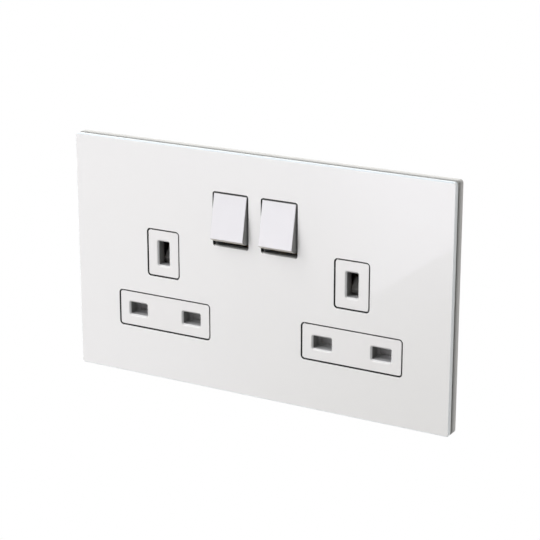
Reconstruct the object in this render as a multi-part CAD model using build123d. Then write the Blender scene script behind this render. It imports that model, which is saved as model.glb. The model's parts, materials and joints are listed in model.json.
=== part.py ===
from build123d import *
import os
from math import cos, floor, hypot, pi, radians, sin

os.makedirs("parts", exist_ok=True)

# A two-gang switched wall socket for three-pin plugs with rectangular pins.
# X runs to the right, Z runs up, and Y runs into the wall, all in millimetres.
# The origin lies on the wall, behind the middle of the front plate.

# Front plate, its carrier and the frame behind it
PLATE_WIDTH = 147.2
PLATE_HEIGHT = 86.0
PLATE_CORNER = 1.2
GLASS_THICKNESS = 1.6
GLASS_CHAMFER = 0.4
GLASS_REAR_CHAMFER = 0.3
GLASS_OPENING_CHAMFER = 0.12
GROOVE_HEIGHT = 0.7
GROOVE_DEPTH = 0.8
CARRIER_RIM_WIDTH = 1.4
FRAME_THICKNESS = 2.9
FRAME_FLOOR = 1.4
FRAME_BORDER = 3.6
WALL_RIM = 4.4
WALL_RECESS = 0.3
RIM_CLEARANCE = 0.25

# Zigzag ribs that stiffen the frame beside the socket unit
FRAME_RIB_PITCH = 7.8
FRAME_RIB_THICKNESS = 0.9
FRAME_RIB_HEIGHT = 1.1
FRAME_RIB_GAP = 0.4

# Clip legs of the carrier and their windows in the frame
CLIP_COLUMNS = (-52.0, -18.0, 18.0, 52.0)
CLIP_WIDTH = 8.0
CLIP_THICKNESS = 1.2
CLIP_ROW_INSET = 5.9
CLIP_CLEARANCE = 0.15
CLIP_SHORTFALL = 0.2
CLIP_NOSE = 0.35
CLIP_GUSSET_THICKNESS = 0.8
CLIP_GUSSET_REACH = 1.0
CLIP_GUSSET_DROP = 1.2

# Where the unit and its rows stand, measured in from the edges of the front plate
UNIT_TOP_MARGIN = 12.5
UNIT_BOTTOM_MARGIN = 15.0
ROCKER_MARGIN = 23.75
PIN_ROW_MARGIN = 24.26

# Pin apertures and the bosses that hold them
GANG_SPACING = 74.28
PIN_SPACING = 22.23
EARTH_RISE = 22.23
PIN_BOSS_WIDTH = 37.15
PIN_BOSS_HEIGHT = 12.27
EARTH_BOSS_WIDTH = 12.32
EARTH_BOSS_HEIGHT = 16.38
BOSS_CORNER = 0.9
BOSS_GAP = 0.45
BOSS_RECESS = 0.2
PIN_APERTURE_WIDTH = 7.0
PIN_APERTURE_HEIGHT = 4.4
EARTH_APERTURE_WIDTH = 4.25
EARTH_APERTURE_HEIGHT = 8.6
APERTURE_CORNER = 0.4
LEAD_IN = 0.55
CHIMNEY_WALL = 1.3
CHIMNEY_END = 1.5

# Rockers
ROCKER_SPACING = 19.06
ROCKER_OPENING_WIDTH = 14.0
ROCKER_OPENING_HEIGHT = 19.15
ROCKER_SIDE_GAP = 0.45
ROCKER_TILT = 11.25
ROCKER_FACE_LENGTH = 15.66
ROCKER_PIVOT_DEPTH = 7.05
ROCKER_FLARE = 0.77
ROCKER_FLARE_DEPTH = 2.1
ROCKER_SKIRT_DEPTH = 5.4
ROCKER_WALL = 1.4
ROCKER_EDGE = 0.3
PIVOT_RADIUS = 1.2
PIVOT_CLEARANCE = 0.05
PIVOT_LENGTH = 1.05
CHEEK_RADIUS = 2.5
STEM_RADIUS = 2.7
STEM_LENGTH = 5.0
STEM_BORE = 1.5
STEM_ROOF = 1.2
WELL_CLEARANCE = 0.3
WELL_WALL = 1.2
WELL_SWEEP = 0.62
WELL_END = 1.0
WELL_TOP_GAP = 0.3
BEARING_RADIUS = 3.0
ROCKER_RIB_THICKNESS = 1.0
ROCKER_RIB_INSET = 1.0

# Sprung plunger in the stem of each rocker
PLUNGER_CLEARANCE = 0.08
PLUNGER_REACH = 8.0
PLUNGER_LENGTH = 6.4
PLUNGER_TRAVEL_GAP = 0.6
PLUNGER_SPRING_WIRE = 0.3
PLUNGER_SPRING_RADIUS = 1.05
PLUNGER_SPRING_TURNS = 6
COIL_RUNS = 10

# Moving switch contact, which rocks on a knife edge behind the plunger
CONTACT_TILT = 6.0
CONTACT_LENGTH = 15.2
CONTACT_WIDTH = 5.0
CONTACT_THICKNESS = 0.8
CONTACT_GAP = 0.1
NOTCH_DEPTH = 0.34
NOTCH_WIDTH = 1.0
KNIFE_SETBACK = 0.2
KNIFE_GAP = 0.06
KNIFE_WIDTH = 3.6
TIP_INSET = 1.3
TIP_RADIUS = 1.3
TIP_HEIGHT = 0.6

# Mouldings of the socket unit
UNIT_HALF_WIDTH = 55.5
UNIT_CORNER = 3.0
UNIT_WALL = 1.4
UNIT_DEPTH = 22.0
UNIT_CLEARANCE = 0.5
FLANGE_THICKNESS = 1.3
FLANGE_WIDTH = 117.0
FLANGE_MARGIN = 4.0
REAR_FLANGE_THICKNESS = 1.4
REAR_FLANGE_MARGIN = 3.9
RIM_GAP = 0.1
FLANGE_RIB_THICKNESS = 1.0
FLANGE_RIB_HEIGHT = 1.4
FLANGE_RIB_RISE = 4.0
HOUSING_DRAFT = 0.8

# Sunk fields that leave a lattice of ribs on the back of the housing
FIELD_DEPTH = 0.5
FIELD_RIB = 1.6
FIELD_MARGIN = 3.0
FIELD_COLUMNS = 2
FIELD_ROWS = 4

# Shutters
SHUTTER_GAP = 0.2
SHUTTER_THICKNESS = 1.6
SHUTTER_WIDTH = 29.8
SHUTTER_BELOW = 2.26
SHUTTER_ABOVE = 2.9
SHUTTER_TONGUE = 9.0
SHUTTER_RAMP_WIDTH = 5.8
RAMP_DROP = 4.6
RAMP_RISE = 0.5
RAMP_NOSE_DROP = 2.8
RAMP_NOSE_DEPTH = 5.0
RAMP_FOOT_DEPTH = 5.9
RAMP_HEEL_DEPTH = 7.5
RAIL_WALL = 1.2
RAIL_LIP = 0.8
RAIL_OVERLAP = 0.7
WINDOW_WIDTH = 4.6
SPRING_LENGTH = 10.0
SPRING_SEAT_GAP = 0.02
SPRING_WIRE = 0.4
SPRING_RADIUS = 1.55
SPRING_TURNS = 7
PEG_HEIGHT = 1.0
PEG_WIDTH = 3.2
PEG_SIDE_GAP = 0.4
PEG_END = 3.8

# Brass work
STRIP = 0.8
LEAF = 0.7
PIN_LENGTH = 17.7
EARTH_PIN_LENGTH = 22.7
PIN_TIP_GAP = 0.5
PIN_STRAP_WIDTH = 4.0
EARTH_STRAP_WIDTH = 4.4
JAW_WIDTH = 5.5
JAW_GRIP = 3.6
JAW_SPREAD = 6.6
JAW_MOUTH = 5.6
JAW_START = 4.5
EARTH_JAW_START = 5.2
EARTH_JAW_WIDTH = 6.4
NEUTRAL_RAIL_RISE = 1.7
NEUTRAL_RAIL_WIDTH = 2.0
LIVE_ARM_EDGE = 0.25
LIVE_ARM_WIDTH = 3.6
LIVE_STEM_WIDTH = 4.0
LIVE_CROSS_WIDTH = 4.4
LIVE_CROSS_END = 12.5
STRAP_END_DROP = 3.4

# Terminals
TERMINAL_WIDTH = 8.0
TERMINAL_HEIGHT = 7.2
TERMINAL_DEPTH = 7.0
TERMINAL_X = 9.0
TERMINAL_RISE = 8.0
EARTH_TERMINAL_X = 17.2
EARTH_TERMINAL_DROP = 9.49
WIRE_BORE = 2.1
WIRE_BORE_INSET = 3.4
SCREW_RADIUS = 1.7
SCREW_HOLE_CLEARANCE = 0.05
SCREW_PASS_CLEARANCE = 0.25
SCREW_SHANK = 3.6
SCREW_HEAD_RADIUS = 2.9
SCREW_HEAD_HEIGHT = 1.6
SCREW_SLOT_WIDTH = 0.8
SCREW_SLOT_DEPTH = 0.8
ACCESS_CLEARANCE = 0.4
ACCESS_WALL = 1.0
ACCESS_GAP = 0.3
CABLE_WINDOW_MARGIN = 0.6

# Ribs that carry the brass work
RIB_THICKNESS = 2.4
RIB_GAP = 0.1

# Fixing holes and rivets
FIXING_SPACING = 120.6
FIXING_HOLE_RADIUS = 2.0
FIXING_HEAD_RADIUS = 3.6
FIXING_BOSS_RADIUS = 5.6
FIXING_BOSS_HEIGHT = 1.0
FIXING_NOTCH_RADIUS = 4.2
FIXING_COUNTERSINK = 1.0
RIVET_X = 34.0
RIVET_INSET = 1.75
RIVET_RADIUS = 1.0
RIVET_HEAD_RADIUS = 1.7
RIVET_HEAD_HEIGHT = 0.7
RIVET_CLEARANCE = 0.05

# Places worked out from the sizes above
front_y = -(FRAME_THICKNESS + GROOVE_HEIGHT + GLASS_THICKNESS)
glass_back_y = front_y + GLASS_THICKNESS
carrier_back_y = glass_back_y + GROOVE_HEIGHT
boss_y = front_y + BOSS_RECESS
flange_front_y = -FRAME_FLOOR - FLANGE_THICKNESS
flange_back_y = -FRAME_FLOOR
frame_back_y = -WALL_RECESS
rear_flange_y = frame_back_y + REAR_FLANGE_THICKNESS
gangs = {"left": -GANG_SPACING / 2, "right": GANG_SPACING / 2}
rockers = {"left": -ROCKER_SPACING / 2, "right": ROCKER_SPACING / 2}
pin_row_z = PIN_ROW_MARGIN - PLATE_HEIGHT / 2
earth_z = pin_row_z + EARTH_RISE
rocker_z = PLATE_HEIGHT / 2 - ROCKER_MARGIN
unit_top = PLATE_HEIGHT / 2 - UNIT_TOP_MARGIN
unit_bottom = UNIT_BOTTOM_MARGIN - PLATE_HEIGHT / 2
tilt = radians(ROCKER_TILT)
half_face = ROCKER_FACE_LENGTH / 2
pivot_y = front_y + ROCKER_PIVOT_DEPTH * cos(tilt) - half_face * sin(tilt)
shutter_y = CHIMNEY_END + SHUTTER_GAP
shutter_back_y = shutter_y + SHUTTER_THICKNESS
strap_y = boss_y + PIN_LENGTH + PIN_TIP_GAP
earth_strap_y = boss_y + EARTH_PIN_LENGTH + PIN_TIP_GAP
contact_face_y = pivot_y + PLUNGER_REACH + CONTACT_GAP
contact_back_y = contact_face_y + CONTACT_THICKNESS
contact_pivot_y = contact_back_y - KNIFE_SETBACK
unit_middle = (unit_top + unit_bottom) / 2
unit_height = unit_top - unit_bottom
rivet_rows = (unit_bottom - UNIT_CLEARANCE - RIVET_INSET, unit_top + UNIT_CLEARANCE + RIVET_INSET)
earth_terminal_xs = (-EARTH_TERMINAL_X, EARTH_TERMINAL_X)
terminal_z = unit_bottom + TERMINAL_RISE
earth_terminal_z = earth_z - EARTH_TERMINAL_DROP
tip_offset = CONTACT_LENGTH / 2 - TIP_INSET
neutral_rail_bottom = unit_bottom + NEUTRAL_RAIL_RISE
neutral_rail_top = neutral_rail_bottom + NEUTRAL_RAIL_WIDTH
live_arm_bottom = rocker_z + tip_offset - TIP_RADIUS - LIVE_ARM_EDGE
live_arm_top = live_arm_bottom + LIVE_ARM_WIDTH
fixing_xs = (-FIXING_SPACING / 2, FIXING_SPACING / 2)


def at(x, z, sketch):
    """Move a sketch to a place on the front view."""
    return Pos(x, z) * sketch


def slab(sketch, y_front, y_back):
    """Give a sketch of the front view its depth, from y_front back to y_back."""
    return extrude(Plane.XZ.offset(-y_back) * sketch, amount=y_back - y_front)


def side(sketch, x, width):
    """Give a sketch of the side view, drawn in Y and Z, a width about x."""
    return extrude(Plane.YZ.offset(x) * sketch, amount=width / 2, both=True)


def block(x_low, x_high, y_low, y_high, z_low, z_high):
    """A box between two corners."""
    middle = Pos((x_low + x_high) / 2, (y_low + y_high) / 2, (z_low + z_high) / 2)
    return middle * Box(x_high - x_low, y_high - y_low, z_high - z_low)


def rod(x, z, radius, y_front, y_back):
    """A round bar along Y."""
    return slab(at(x, z, Circle(radius)), y_front, y_back)


def polygon(points):
    """A flat face inside a closed run of straight lines."""
    return make_face(Polyline(*points, close=True))


def strip_outline(points, thickness):
    """The outline of a bent strip whose middle line follows the points."""
    left = []
    right = []
    for i, (a, b) in enumerate(points):
        before = points[max(i - 1, 0)]
        after = points[min(i + 1, len(points) - 1)]
        run_in = unit(before, (a, b)) if i else unit((a, b), after)
        run_out = unit((a, b), after) if i < len(points) - 1 else run_in
        normal_a = -(run_in[1] + run_out[1])
        normal_b = run_in[0] + run_out[0]
        reach = thickness / (1 + run_in[0] * run_out[0] + run_in[1] * run_out[1]) / 2
        left.append((a + normal_a * reach, b + normal_b * reach))
        right.append((a - normal_a * reach, b - normal_b * reach))
    return polygon(left + right[::-1])


def unit(start, end):
    """The direction from one point to another."""
    length = hypot(end[0] - start[0], end[1] - start[1])
    return ((end[0] - start[0]) / length, (end[1] - start[1]) / length)


def coil(radius, wire, turns, length):
    """A compression spring along Z, from zero up to its length, in short straight runs."""
    runs = turns * COIL_RUNS
    rise = length - wire
    points = []
    for i in range(runs + 1):
        angle = 2 * pi * i / COIL_RUNS
        points.append((radius * cos(angle), radius * sin(angle), wire / 2 + rise * i / runs))
    path = Polyline(*points)
    across = Vector(0, 0, 1).cross(path % 0)
    section = Plane(origin=path @ 0, x_dir=across, z_dir=path % 0) * Rectangle(wire, wire)
    return sweep(section, path=path, transition=Transition.RIGHT)


def front_openings(grow=0.0, grow_high=0.0):
    """The six openings of the front, as a sketch, each larger all round by grow."""
    shapes = []
    extra = 2 * (BOSS_GAP + grow)
    corner = BOSS_CORNER + BOSS_GAP
    for x in gangs.values():
        pins = RectangleRounded(PIN_BOSS_WIDTH + extra, PIN_BOSS_HEIGHT + extra, corner)
        earth = RectangleRounded(EARTH_BOSS_WIDTH + extra, EARTH_BOSS_HEIGHT + extra, corner)
        shapes.append(at(x, pin_row_z, pins))
        shapes.append(at(x, earth_z, earth))
    for x in rockers.values():
        width = ROCKER_OPENING_WIDTH + 2 * grow
        height = ROCKER_OPENING_HEIGHT + 2 * (grow + grow_high)
        shapes.append(at(x, rocker_z, RectangleRounded(width, height, BOSS_CORNER)))
    return Sketch() + shapes


def glass_plate():
    """The glass front, with polished chamfers and an opening for each boss and rocker."""
    outline = RectangleRounded(PLATE_WIDTH, PLATE_HEIGHT, PLATE_CORNER)
    plate = slab(outline, front_y, glass_back_y)
    plate = chamfer(plate.faces().sort_by(Axis.Y)[0].edges(), GLASS_CHAMFER)
    plate = chamfer(plate.faces().sort_by(Axis.Y)[-1].edges(), GLASS_REAR_CHAMFER)
    plate -= slab(front_openings(), front_y, glass_back_y)
    front = plate.faces().sort_by(Axis.Y)[0]
    rims = [edge for wire in front.inner_wires() for edge in wire.edges()]
    return chamfer(rims, GLASS_OPENING_CHAMFER)


def clip_places():
    """The middle of each clip leg."""
    row = PLATE_HEIGHT / 2 - CLIP_ROW_INSET
    return [(x, z) for x in CLIP_COLUMNS for z in (-row, row)]


def clip_leg(x, z):
    """A clip leg with a tapered nose, and two gussets at its root towards the middle."""
    leg = slab(at(x, z, Rectangle(CLIP_WIDTH, CLIP_THICKNESS)), carrier_back_y, -CLIP_SHORTFALL)
    leg = chamfer(leg.faces().sort_by(Axis.Y)[-1].edges().filter_by(Axis.X), CLIP_NOSE)
    inwards = -1 if z > 0 else 1
    root = z + inwards * CLIP_THICKNESS / 2
    gusset = polygon([(carrier_back_y, root), (carrier_back_y + CLIP_GUSSET_DROP, root),
                      (carrier_back_y, root + inwards * CLIP_GUSSET_REACH)])
    for sign in (-1, 1):
        leg += side(gusset, x + sign * CLIP_WIDTH / 4, CLIP_GUSSET_THICKNESS)
    return leg


def cover_frame():
    """The carrier bonded to the glass: a thin tray with a rim and eight clip legs."""
    width = PLATE_WIDTH - 2 * GROOVE_DEPTH
    height = PLATE_HEIGHT - 2 * GROOVE_DEPTH
    tray = slab(RectangleRounded(width, height, PLATE_CORNER), glass_back_y, carrier_back_y)
    inner_width = PLATE_WIDTH - 2 * (FRAME_BORDER + RIM_CLEARANCE)
    inner_height = PLATE_HEIGHT - 2 * (FRAME_BORDER + RIM_CLEARANCE)
    rim = Rectangle(inner_width, inner_height)
    rim -= Rectangle(inner_width - 2 * CARRIER_RIM_WIDTH, inner_height - 2 * CARRIER_RIM_WIDTH)
    tray += slab(rim, carrier_back_y, flange_back_y - RIM_GAP)
    for x, z in clip_places():
        tray += clip_leg(x, z)
    return tray - slab(front_openings(RIM_CLEARANCE, WELL_SWEEP), glass_back_y, carrier_back_y)


def rivet_places():
    """The middle of each rivet."""
    return [(x, z) for x in (-RIVET_X, RIVET_X) for z in rivet_rows]


def frame_ribs():
    """A zigzag rib above and below each fixing boss, between the socket unit and the rim."""
    near = FLANGE_WIDTH / 2 + FRAME_RIB_GAP + FRAME_RIB_THICKNESS
    rim = FRAME_BORDER + RIM_CLEARANCE + CARRIER_RIM_WIDTH + FRAME_RIB_GAP
    far = PLATE_WIDTH / 2 - rim - FRAME_RIB_THICKNESS
    highest = PLATE_HEIGHT / 2 - rim - FRAME_RIB_THICKNESS
    steps = floor((highest - FIXING_BOSS_RADIUS) / FRAME_RIB_PITCH)
    ribs = Part()
    for across in (-1, 1):
        for up in (-1, 1):
            points = []
            for i in range(steps + 1):
                side_x = far if i % 2 else near
                points.append((across * side_x, up * (FIXING_BOSS_RADIUS + i * FRAME_RIB_PITCH)))
            zigzag = strip_outline(points, FRAME_RIB_THICKNESS)
            ribs += slab(zigzag, -FRAME_FLOOR - FRAME_RIB_HEIGHT, -FRAME_FLOOR)
    return ribs


def mounting_frame():
    """The frame that is screwed to the wall box, with its rim showing below the glass."""
    outline = RectangleRounded(PLATE_WIDTH, PLATE_HEIGHT, PLATE_CORNER)
    frame = slab(outline, -FRAME_THICKNESS, 0)
    inner_width = PLATE_WIDTH - 2 * FRAME_BORDER
    inner_height = PLATE_HEIGHT - 2 * FRAME_BORDER
    frame -= slab(Rectangle(inner_width, inner_height), -FRAME_THICKNESS, -FRAME_FLOOR)
    recess = RectangleRounded(PLATE_WIDTH - 2 * WALL_RIM, PLATE_HEIGHT - 2 * WALL_RIM, PLATE_CORNER)
    frame -= slab(recess, frame_back_y, 0)
    opening_width = 2 * (UNIT_HALF_WIDTH + UNIT_CLEARANCE)
    opening_height = unit_height + 2 * UNIT_CLEARANCE
    opening = RectangleRounded(opening_width, opening_height, UNIT_CORNER)
    boss_y_front = -FRAME_FLOOR - FIXING_BOSS_HEIGHT
    frame += frame_ribs()
    for x in fixing_xs:
        frame += rod(x, 0, FIXING_BOSS_RADIUS, boss_y_front, -FRAME_FLOOR)
    flange_room = Rectangle(FLANGE_WIDTH + 2 * RIM_GAP, opening_height)
    notches = [at(x, 0, Circle(FIXING_NOTCH_RADIUS - RIM_GAP)) for x in fixing_xs]
    frame -= slab(at(0, unit_middle, flange_room) - notches, boss_y_front, -FRAME_FLOOR)
    frame -= slab(at(0, unit_middle, opening), -FRAME_FLOOR, 0)
    for x in fixing_xs:
        frame -= rod(x, 0, FIXING_HOLE_RADIUS, boss_y_front, 0)
        seat = Plane((x, boss_y_front, 0), z_dir=(0, 1, 0))
        cone = Cone(FIXING_HEAD_RADIUS, FIXING_HOLE_RADIUS, FIXING_COUNTERSINK)
        frame -= seat * Pos(0, 0, FIXING_COUNTERSINK / 2) * cone
    for x, z in clip_places():
        window = Rectangle(CLIP_WIDTH + 2 * CLIP_CLEARANCE, CLIP_THICKNESS + 2 * CLIP_CLEARANCE)
        frame -= slab(at(x, z, window), -FRAME_FLOOR, 0)
    for x, z in rivet_places():
        frame -= rod(x, z, RIVET_RADIUS + RIVET_CLEARANCE, -FRAME_FLOOR, 0)
    return frame


def aperture(x, z, width, height, y_back):
    """A pin aperture with its lead-in, as a solid to cut away."""
    hole = slab(at(x, z, RectangleRounded(width, height, APERTURE_CORNER)), boss_y, y_back)
    mouth = RectangleRounded(width + 2 * LEAD_IN, height + 2 * LEAD_IN, APERTURE_CORNER + LEAD_IN)
    face = Plane((x, boss_y, z), x_dir=(1, 0, 0), z_dir=(0, 1, 0)) * mouth
    return hole + extrude(face, amount=LEAD_IN, taper=45)


def pin_places(x):
    """The two pin apertures of a gang, neutral on the left and live on the right."""
    return (x - PIN_SPACING / 2, x + PIN_SPACING / 2)


def bosses(x):
    """The two flush bosses of a gang and the walls behind its pin apertures."""
    pins = RectangleRounded(PIN_BOSS_WIDTH, PIN_BOSS_HEIGHT, BOSS_CORNER)
    earth = RectangleRounded(EARTH_BOSS_WIDTH, EARTH_BOSS_HEIGHT, BOSS_CORNER)
    shape = slab(at(x, pin_row_z, pins), boss_y, flange_front_y)
    shape += slab(at(x, earth_z, earth), boss_y, flange_front_y)
    for pin_x in pin_places(x):
        width = PIN_APERTURE_WIDTH + 2 * CHIMNEY_WALL
        height = PIN_APERTURE_HEIGHT + 2 * CHIMNEY_WALL
        shape += slab(at(pin_x, pin_row_z, Rectangle(width, height)), flange_back_y, CHIMNEY_END)
    return shape


def shutter_guides(x):
    """Two lipped rails and the spring peg that carry a gang's shutter."""
    inner = SHUTTER_WIDTH / 2 + SHUTTER_GAP
    lip_y = shutter_back_y + SHUTTER_GAP
    low = pin_row_z - SHUTTER_BELOW
    high = pin_row_z + SHUTTER_ABOVE
    shape = Part()
    for sign in (-1, 1):
        near, far = sorted((x + sign * inner, x + sign * (inner + RAIL_WALL)))
        shape += block(near, far, flange_back_y, lip_y + RAIL_LIP, low, high)
        edge = x + sign * (inner - RAIL_OVERLAP)
        lip_near, lip_far = sorted((edge, x + sign * (inner + RAIL_WALL)))
        shape += block(lip_near, lip_far, lip_y, lip_y + RAIL_LIP, low, high)
    peg_top = spring_base_z()
    half = PEG_WIDTH / 2
    shape += block(x - half, x + half, flange_back_y, PEG_END, peg_top - PEG_HEIGHT, peg_top)
    return shape


def spring_base_z():
    """The level where a shutter spring stands on its peg."""
    return earth_z - RAMP_DROP - RAIL_WALL - SPRING_LENGTH - 2 * SPRING_SEAT_GAP


def well_size():
    """The inner width and height of the well round a rocker."""
    width = ROCKER_OPENING_WIDTH - 2 * ROCKER_SIDE_GAP + 2 * WELL_CLEARANCE
    height = ROCKER_OPENING_HEIGHT + 2 * WELL_SWEEP
    return width, height


def rocker_well(x):
    """The walls beside and below a rocker, with the cheeks that its pivots turn in."""
    width, height = well_size()
    low = rocker_z - height / 2 - WELL_WALL
    high = unit_top - UNIT_WALL - WELL_TOP_GAP
    half = width / 2 + WELL_WALL
    shape = block(x - half, x + half, flange_back_y, WELL_END, low, low + WELL_WALL)
    for sign in (-1, 1):
        near, far = sorted((x + sign * width / 2, x + sign * half))
        shape += block(near, far, flange_back_y, WELL_END, low, high)
    for sign in (-1, 1):
        middle = x + sign * (width + WELL_WALL) / 2
        cheek = Pos(pivot_y, rocker_z) * Circle(BEARING_RADIUS)
        root = block(middle - WELL_WALL / 2, middle + WELL_WALL / 2, flange_back_y, pivot_y,
                     rocker_z - BEARING_RADIUS, rocker_z + BEARING_RADIUS)
        shape += side(cheek, middle, WELL_WALL) + root
    return shape


def flange_ribs():
    """Ribs behind the flange: one along the unit, one above each gang and one down the middle."""
    back = flange_back_y + FLANGE_RIB_HEIGHT
    half = FLANGE_RIB_THICKNESS / 2
    reach = UNIT_HALF_WIDTH - UNIT_WALL - WELL_TOP_GAP
    _, well_height = well_size()
    between = (pin_row_z + PIN_BOSS_HEIGHT / 2 + earth_z - EARTH_BOSS_HEIGHT / 2) / 2
    above = earth_z + EARTH_BOSS_HEIGHT / 2 + FLANGE_RIB_RISE
    well_side = rockers["right"] + well_size()[0] / 2 + WELL_WALL
    ribs = block(-reach, reach, flange_back_y, back, between - half, between + half)
    ribs += block(-half, half, flange_back_y, back, unit_bottom + UNIT_WALL + WELL_TOP_GAP,
                  rocker_z - well_height / 2)
    for low, high in ((-reach, -well_side), (well_side, reach)):
        ribs += block(low, high, flange_back_y, back, above - half, above + half)
    return ribs


def socket_front():
    """The front moulding: flange, bosses, pin apertures, rocker wells and shutter guides."""
    flange_z_low = unit_bottom - UNIT_CLEARANCE - FLANGE_MARGIN
    flange_z_high = unit_top + UNIT_CLEARANCE + FLANGE_MARGIN
    flange_height = flange_z_high - flange_z_low
    middle = (flange_z_low + flange_z_high) / 2
    shape = slab(at(0, middle, RectangleRounded(FLANGE_WIDTH, flange_height, UNIT_CORNER)),
                 flange_front_y, flange_back_y)
    for x in fixing_xs:
        shape -= rod(x, 0, FIXING_NOTCH_RADIUS, flange_front_y, flange_back_y)
    shape += flange_ribs()
    for x in gangs.values():
        shape += bosses(x)
        shape += shutter_guides(x)
        for pin_x in pin_places(x):
            shape -= aperture(pin_x, pin_row_z, PIN_APERTURE_WIDTH, PIN_APERTURE_HEIGHT, CHIMNEY_END)
        shape -= aperture(x, earth_z, EARTH_APERTURE_WIDTH, EARTH_APERTURE_HEIGHT, flange_back_y)
    width, height = well_size()
    for x in rockers.values():
        shape += rocker_well(x)
        shape -= slab(at(x, rocker_z, Rectangle(width, height)), flange_front_y, flange_back_y)
        bearing = Pos(pivot_y, rocker_z) * Circle(PIVOT_RADIUS + PIVOT_CLEARANCE)
        shape -= side(bearing, x, width + 4 * WELL_WALL)
    for x, z in rivet_places():
        shape -= rod(x, z, RIVET_RADIUS + RIVET_CLEARANCE, flange_front_y, flange_back_y)
        shape -= rod(x, z, RIVET_HEAD_RADIUS + RIVET_CLEARANCE, flange_front_y,
                     flange_front_y + RIVET_HEAD_HEIGHT)
    return shape


def terminal_places():
    """Each terminal's name with its middle in the front view and the front face of its strap."""
    places = {"neutral": (-TERMINAL_X, terminal_z, strap_y), "live": (TERMINAL_X, terminal_z, strap_y)}
    for name, x in zip(("earth_left", "earth_right"), earth_terminal_xs):
        places[name] = (x, earth_terminal_z, earth_strap_y)
    return places


def cable_windows():
    """The openings in the floor of the housing where the cores come in."""
    shape = Part()
    for x, z, y in terminal_places().values():
        half = TERMINAL_WIDTH / 2 - CABLE_WINDOW_MARGIN
        y_low = y - TERMINAL_DEPTH + CABLE_WINDOW_MARGIN
        y_high = y - CABLE_WINDOW_MARGIN
        if y == earth_strap_y:
            y_low = strap_y + STRIP + CABLE_WINDOW_MARGIN
            y_high = y + STRIP
        shape += block(x - half, x + half, y_low, y_high, unit_bottom, unit_bottom + UNIT_WALL)
    return shape


def rib_places():
    """Ribs behind the straps: X, lowest Z, highest Z and the back face of what they carry."""
    back = strap_y + STRIP
    earth_back = earth_strap_y + STRIP
    live_left = pin_places(gangs["left"])[1]
    live_right = pin_places(gangs["right"])[1]
    neutral_left = pin_places(gangs["left"])[0]
    neutral_right = pin_places(gangs["right"])[0]
    above = earth_z + EARTH_STRAP_WIDTH / 2 + RIB_THICKNESS
    below = earth_z - EARTH_STRAP_WIDTH / 2 - RIB_THICKNESS
    ribs = [(x, above, live_arm_top, back) for x in (live_left, live_right)]
    ribs += [(x, pin_row_z - STRAP_END_DROP, below, back) for x in (live_left, live_right)]
    ribs += [(0, above, rocker_z, back), (0, pin_row_z, below, back)]
    wall_middle = unit_bottom + UNIT_WALL / 2
    ribs += [(x, wall_middle, pin_row_z + STRAP_END_DROP, back) for x in (neutral_left, neutral_right)]
    earth_low = earth_z - EARTH_STRAP_WIDTH
    earth_high = earth_z + EARTH_STRAP_WIDTH
    ribs += [(x, earth_low, earth_high, earth_back) for x in gangs.values()]
    return ribs


def back_fields():
    """The sunk fields on each side of the back, which leave the ribs between them standing."""
    inner = EARTH_TERMINAL_X + SCREW_HEAD_RADIUS + ACCESS_CLEARANCE + ACCESS_WALL + FIELD_RIB
    outer = UNIT_HALF_WIDTH - FIELD_MARGIN
    low = unit_bottom + FIELD_MARGIN
    width = (outer - inner - (FIELD_COLUMNS - 1) * FIELD_RIB) / FIELD_COLUMNS
    height = (unit_height - 2 * FIELD_MARGIN - (FIELD_ROWS - 1) * FIELD_RIB) / FIELD_ROWS
    fields = Sketch()
    for sign in (-1, 1):
        for column in range(FIELD_COLUMNS):
            for row in range(FIELD_ROWS):
                x = sign * (inner + width / 2 + column * (width + FIELD_RIB))
                z = low + height / 2 + row * (height + FIELD_RIB)
                fields += at(x, z, Rectangle(width, height))
    return slab(fields, UNIT_DEPTH - FIELD_DEPTH, UNIT_DEPTH)


def rear_housing():
    """The deep rear moulding with its flange, ribs, screw wells and cable windows."""
    outline = RectangleRounded(2 * UNIT_HALF_WIDTH, unit_height, UNIT_CORNER)
    inside = RectangleRounded(2 * (UNIT_HALF_WIDTH - UNIT_WALL), unit_height - 2 * UNIT_WALL,
                              UNIT_CORNER - UNIT_WALL)
    floor_y = UNIT_DEPTH - UNIT_WALL
    front = Plane((0, flange_back_y + RIM_GAP, unit_middle), x_dir=(1, 0, 0), z_dir=(0, 1, 0))
    shape = extrude(front * outline, amount=UNIT_DEPTH - flange_back_y - RIM_GAP, taper=HOUSING_DRAFT)
    shape = chamfer(shape.faces().sort_by(Axis.Y)[-1].edges(), UNIT_WALL / 2)
    flange = RectangleRounded(2 * (UNIT_HALF_WIDTH + UNIT_CLEARANCE), unit_height + 2 * REAR_FLANGE_MARGIN,
                              UNIT_CORNER)
    shape += slab(at(0, unit_middle, flange), frame_back_y, rear_flange_y)
    shape -= slab(at(0, unit_middle, inside), flange_back_y + RIM_GAP, floor_y)
    half = RIB_THICKNESS / 2
    for x, low, high, carried_y in rib_places():
        shape += block(x - half, x + half, carried_y + RIB_GAP, floor_y, low, high)
    access = SCREW_HEAD_RADIUS + ACCESS_CLEARANCE
    for x, z, y in terminal_places().values():
        well_y = y + STRIP + ACCESS_GAP
        if well_y < floor_y:
            shape += rod(x, z, access + ACCESS_WALL, well_y, floor_y)
        shape -= rod(x, z, access, min(well_y, floor_y), UNIT_DEPTH)
    for x, z in rivet_places():
        shape -= rod(x, z, RIVET_RADIUS + RIVET_CLEARANCE, frame_back_y, rear_flange_y)
    return shape - cable_windows() - back_fields()


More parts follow.
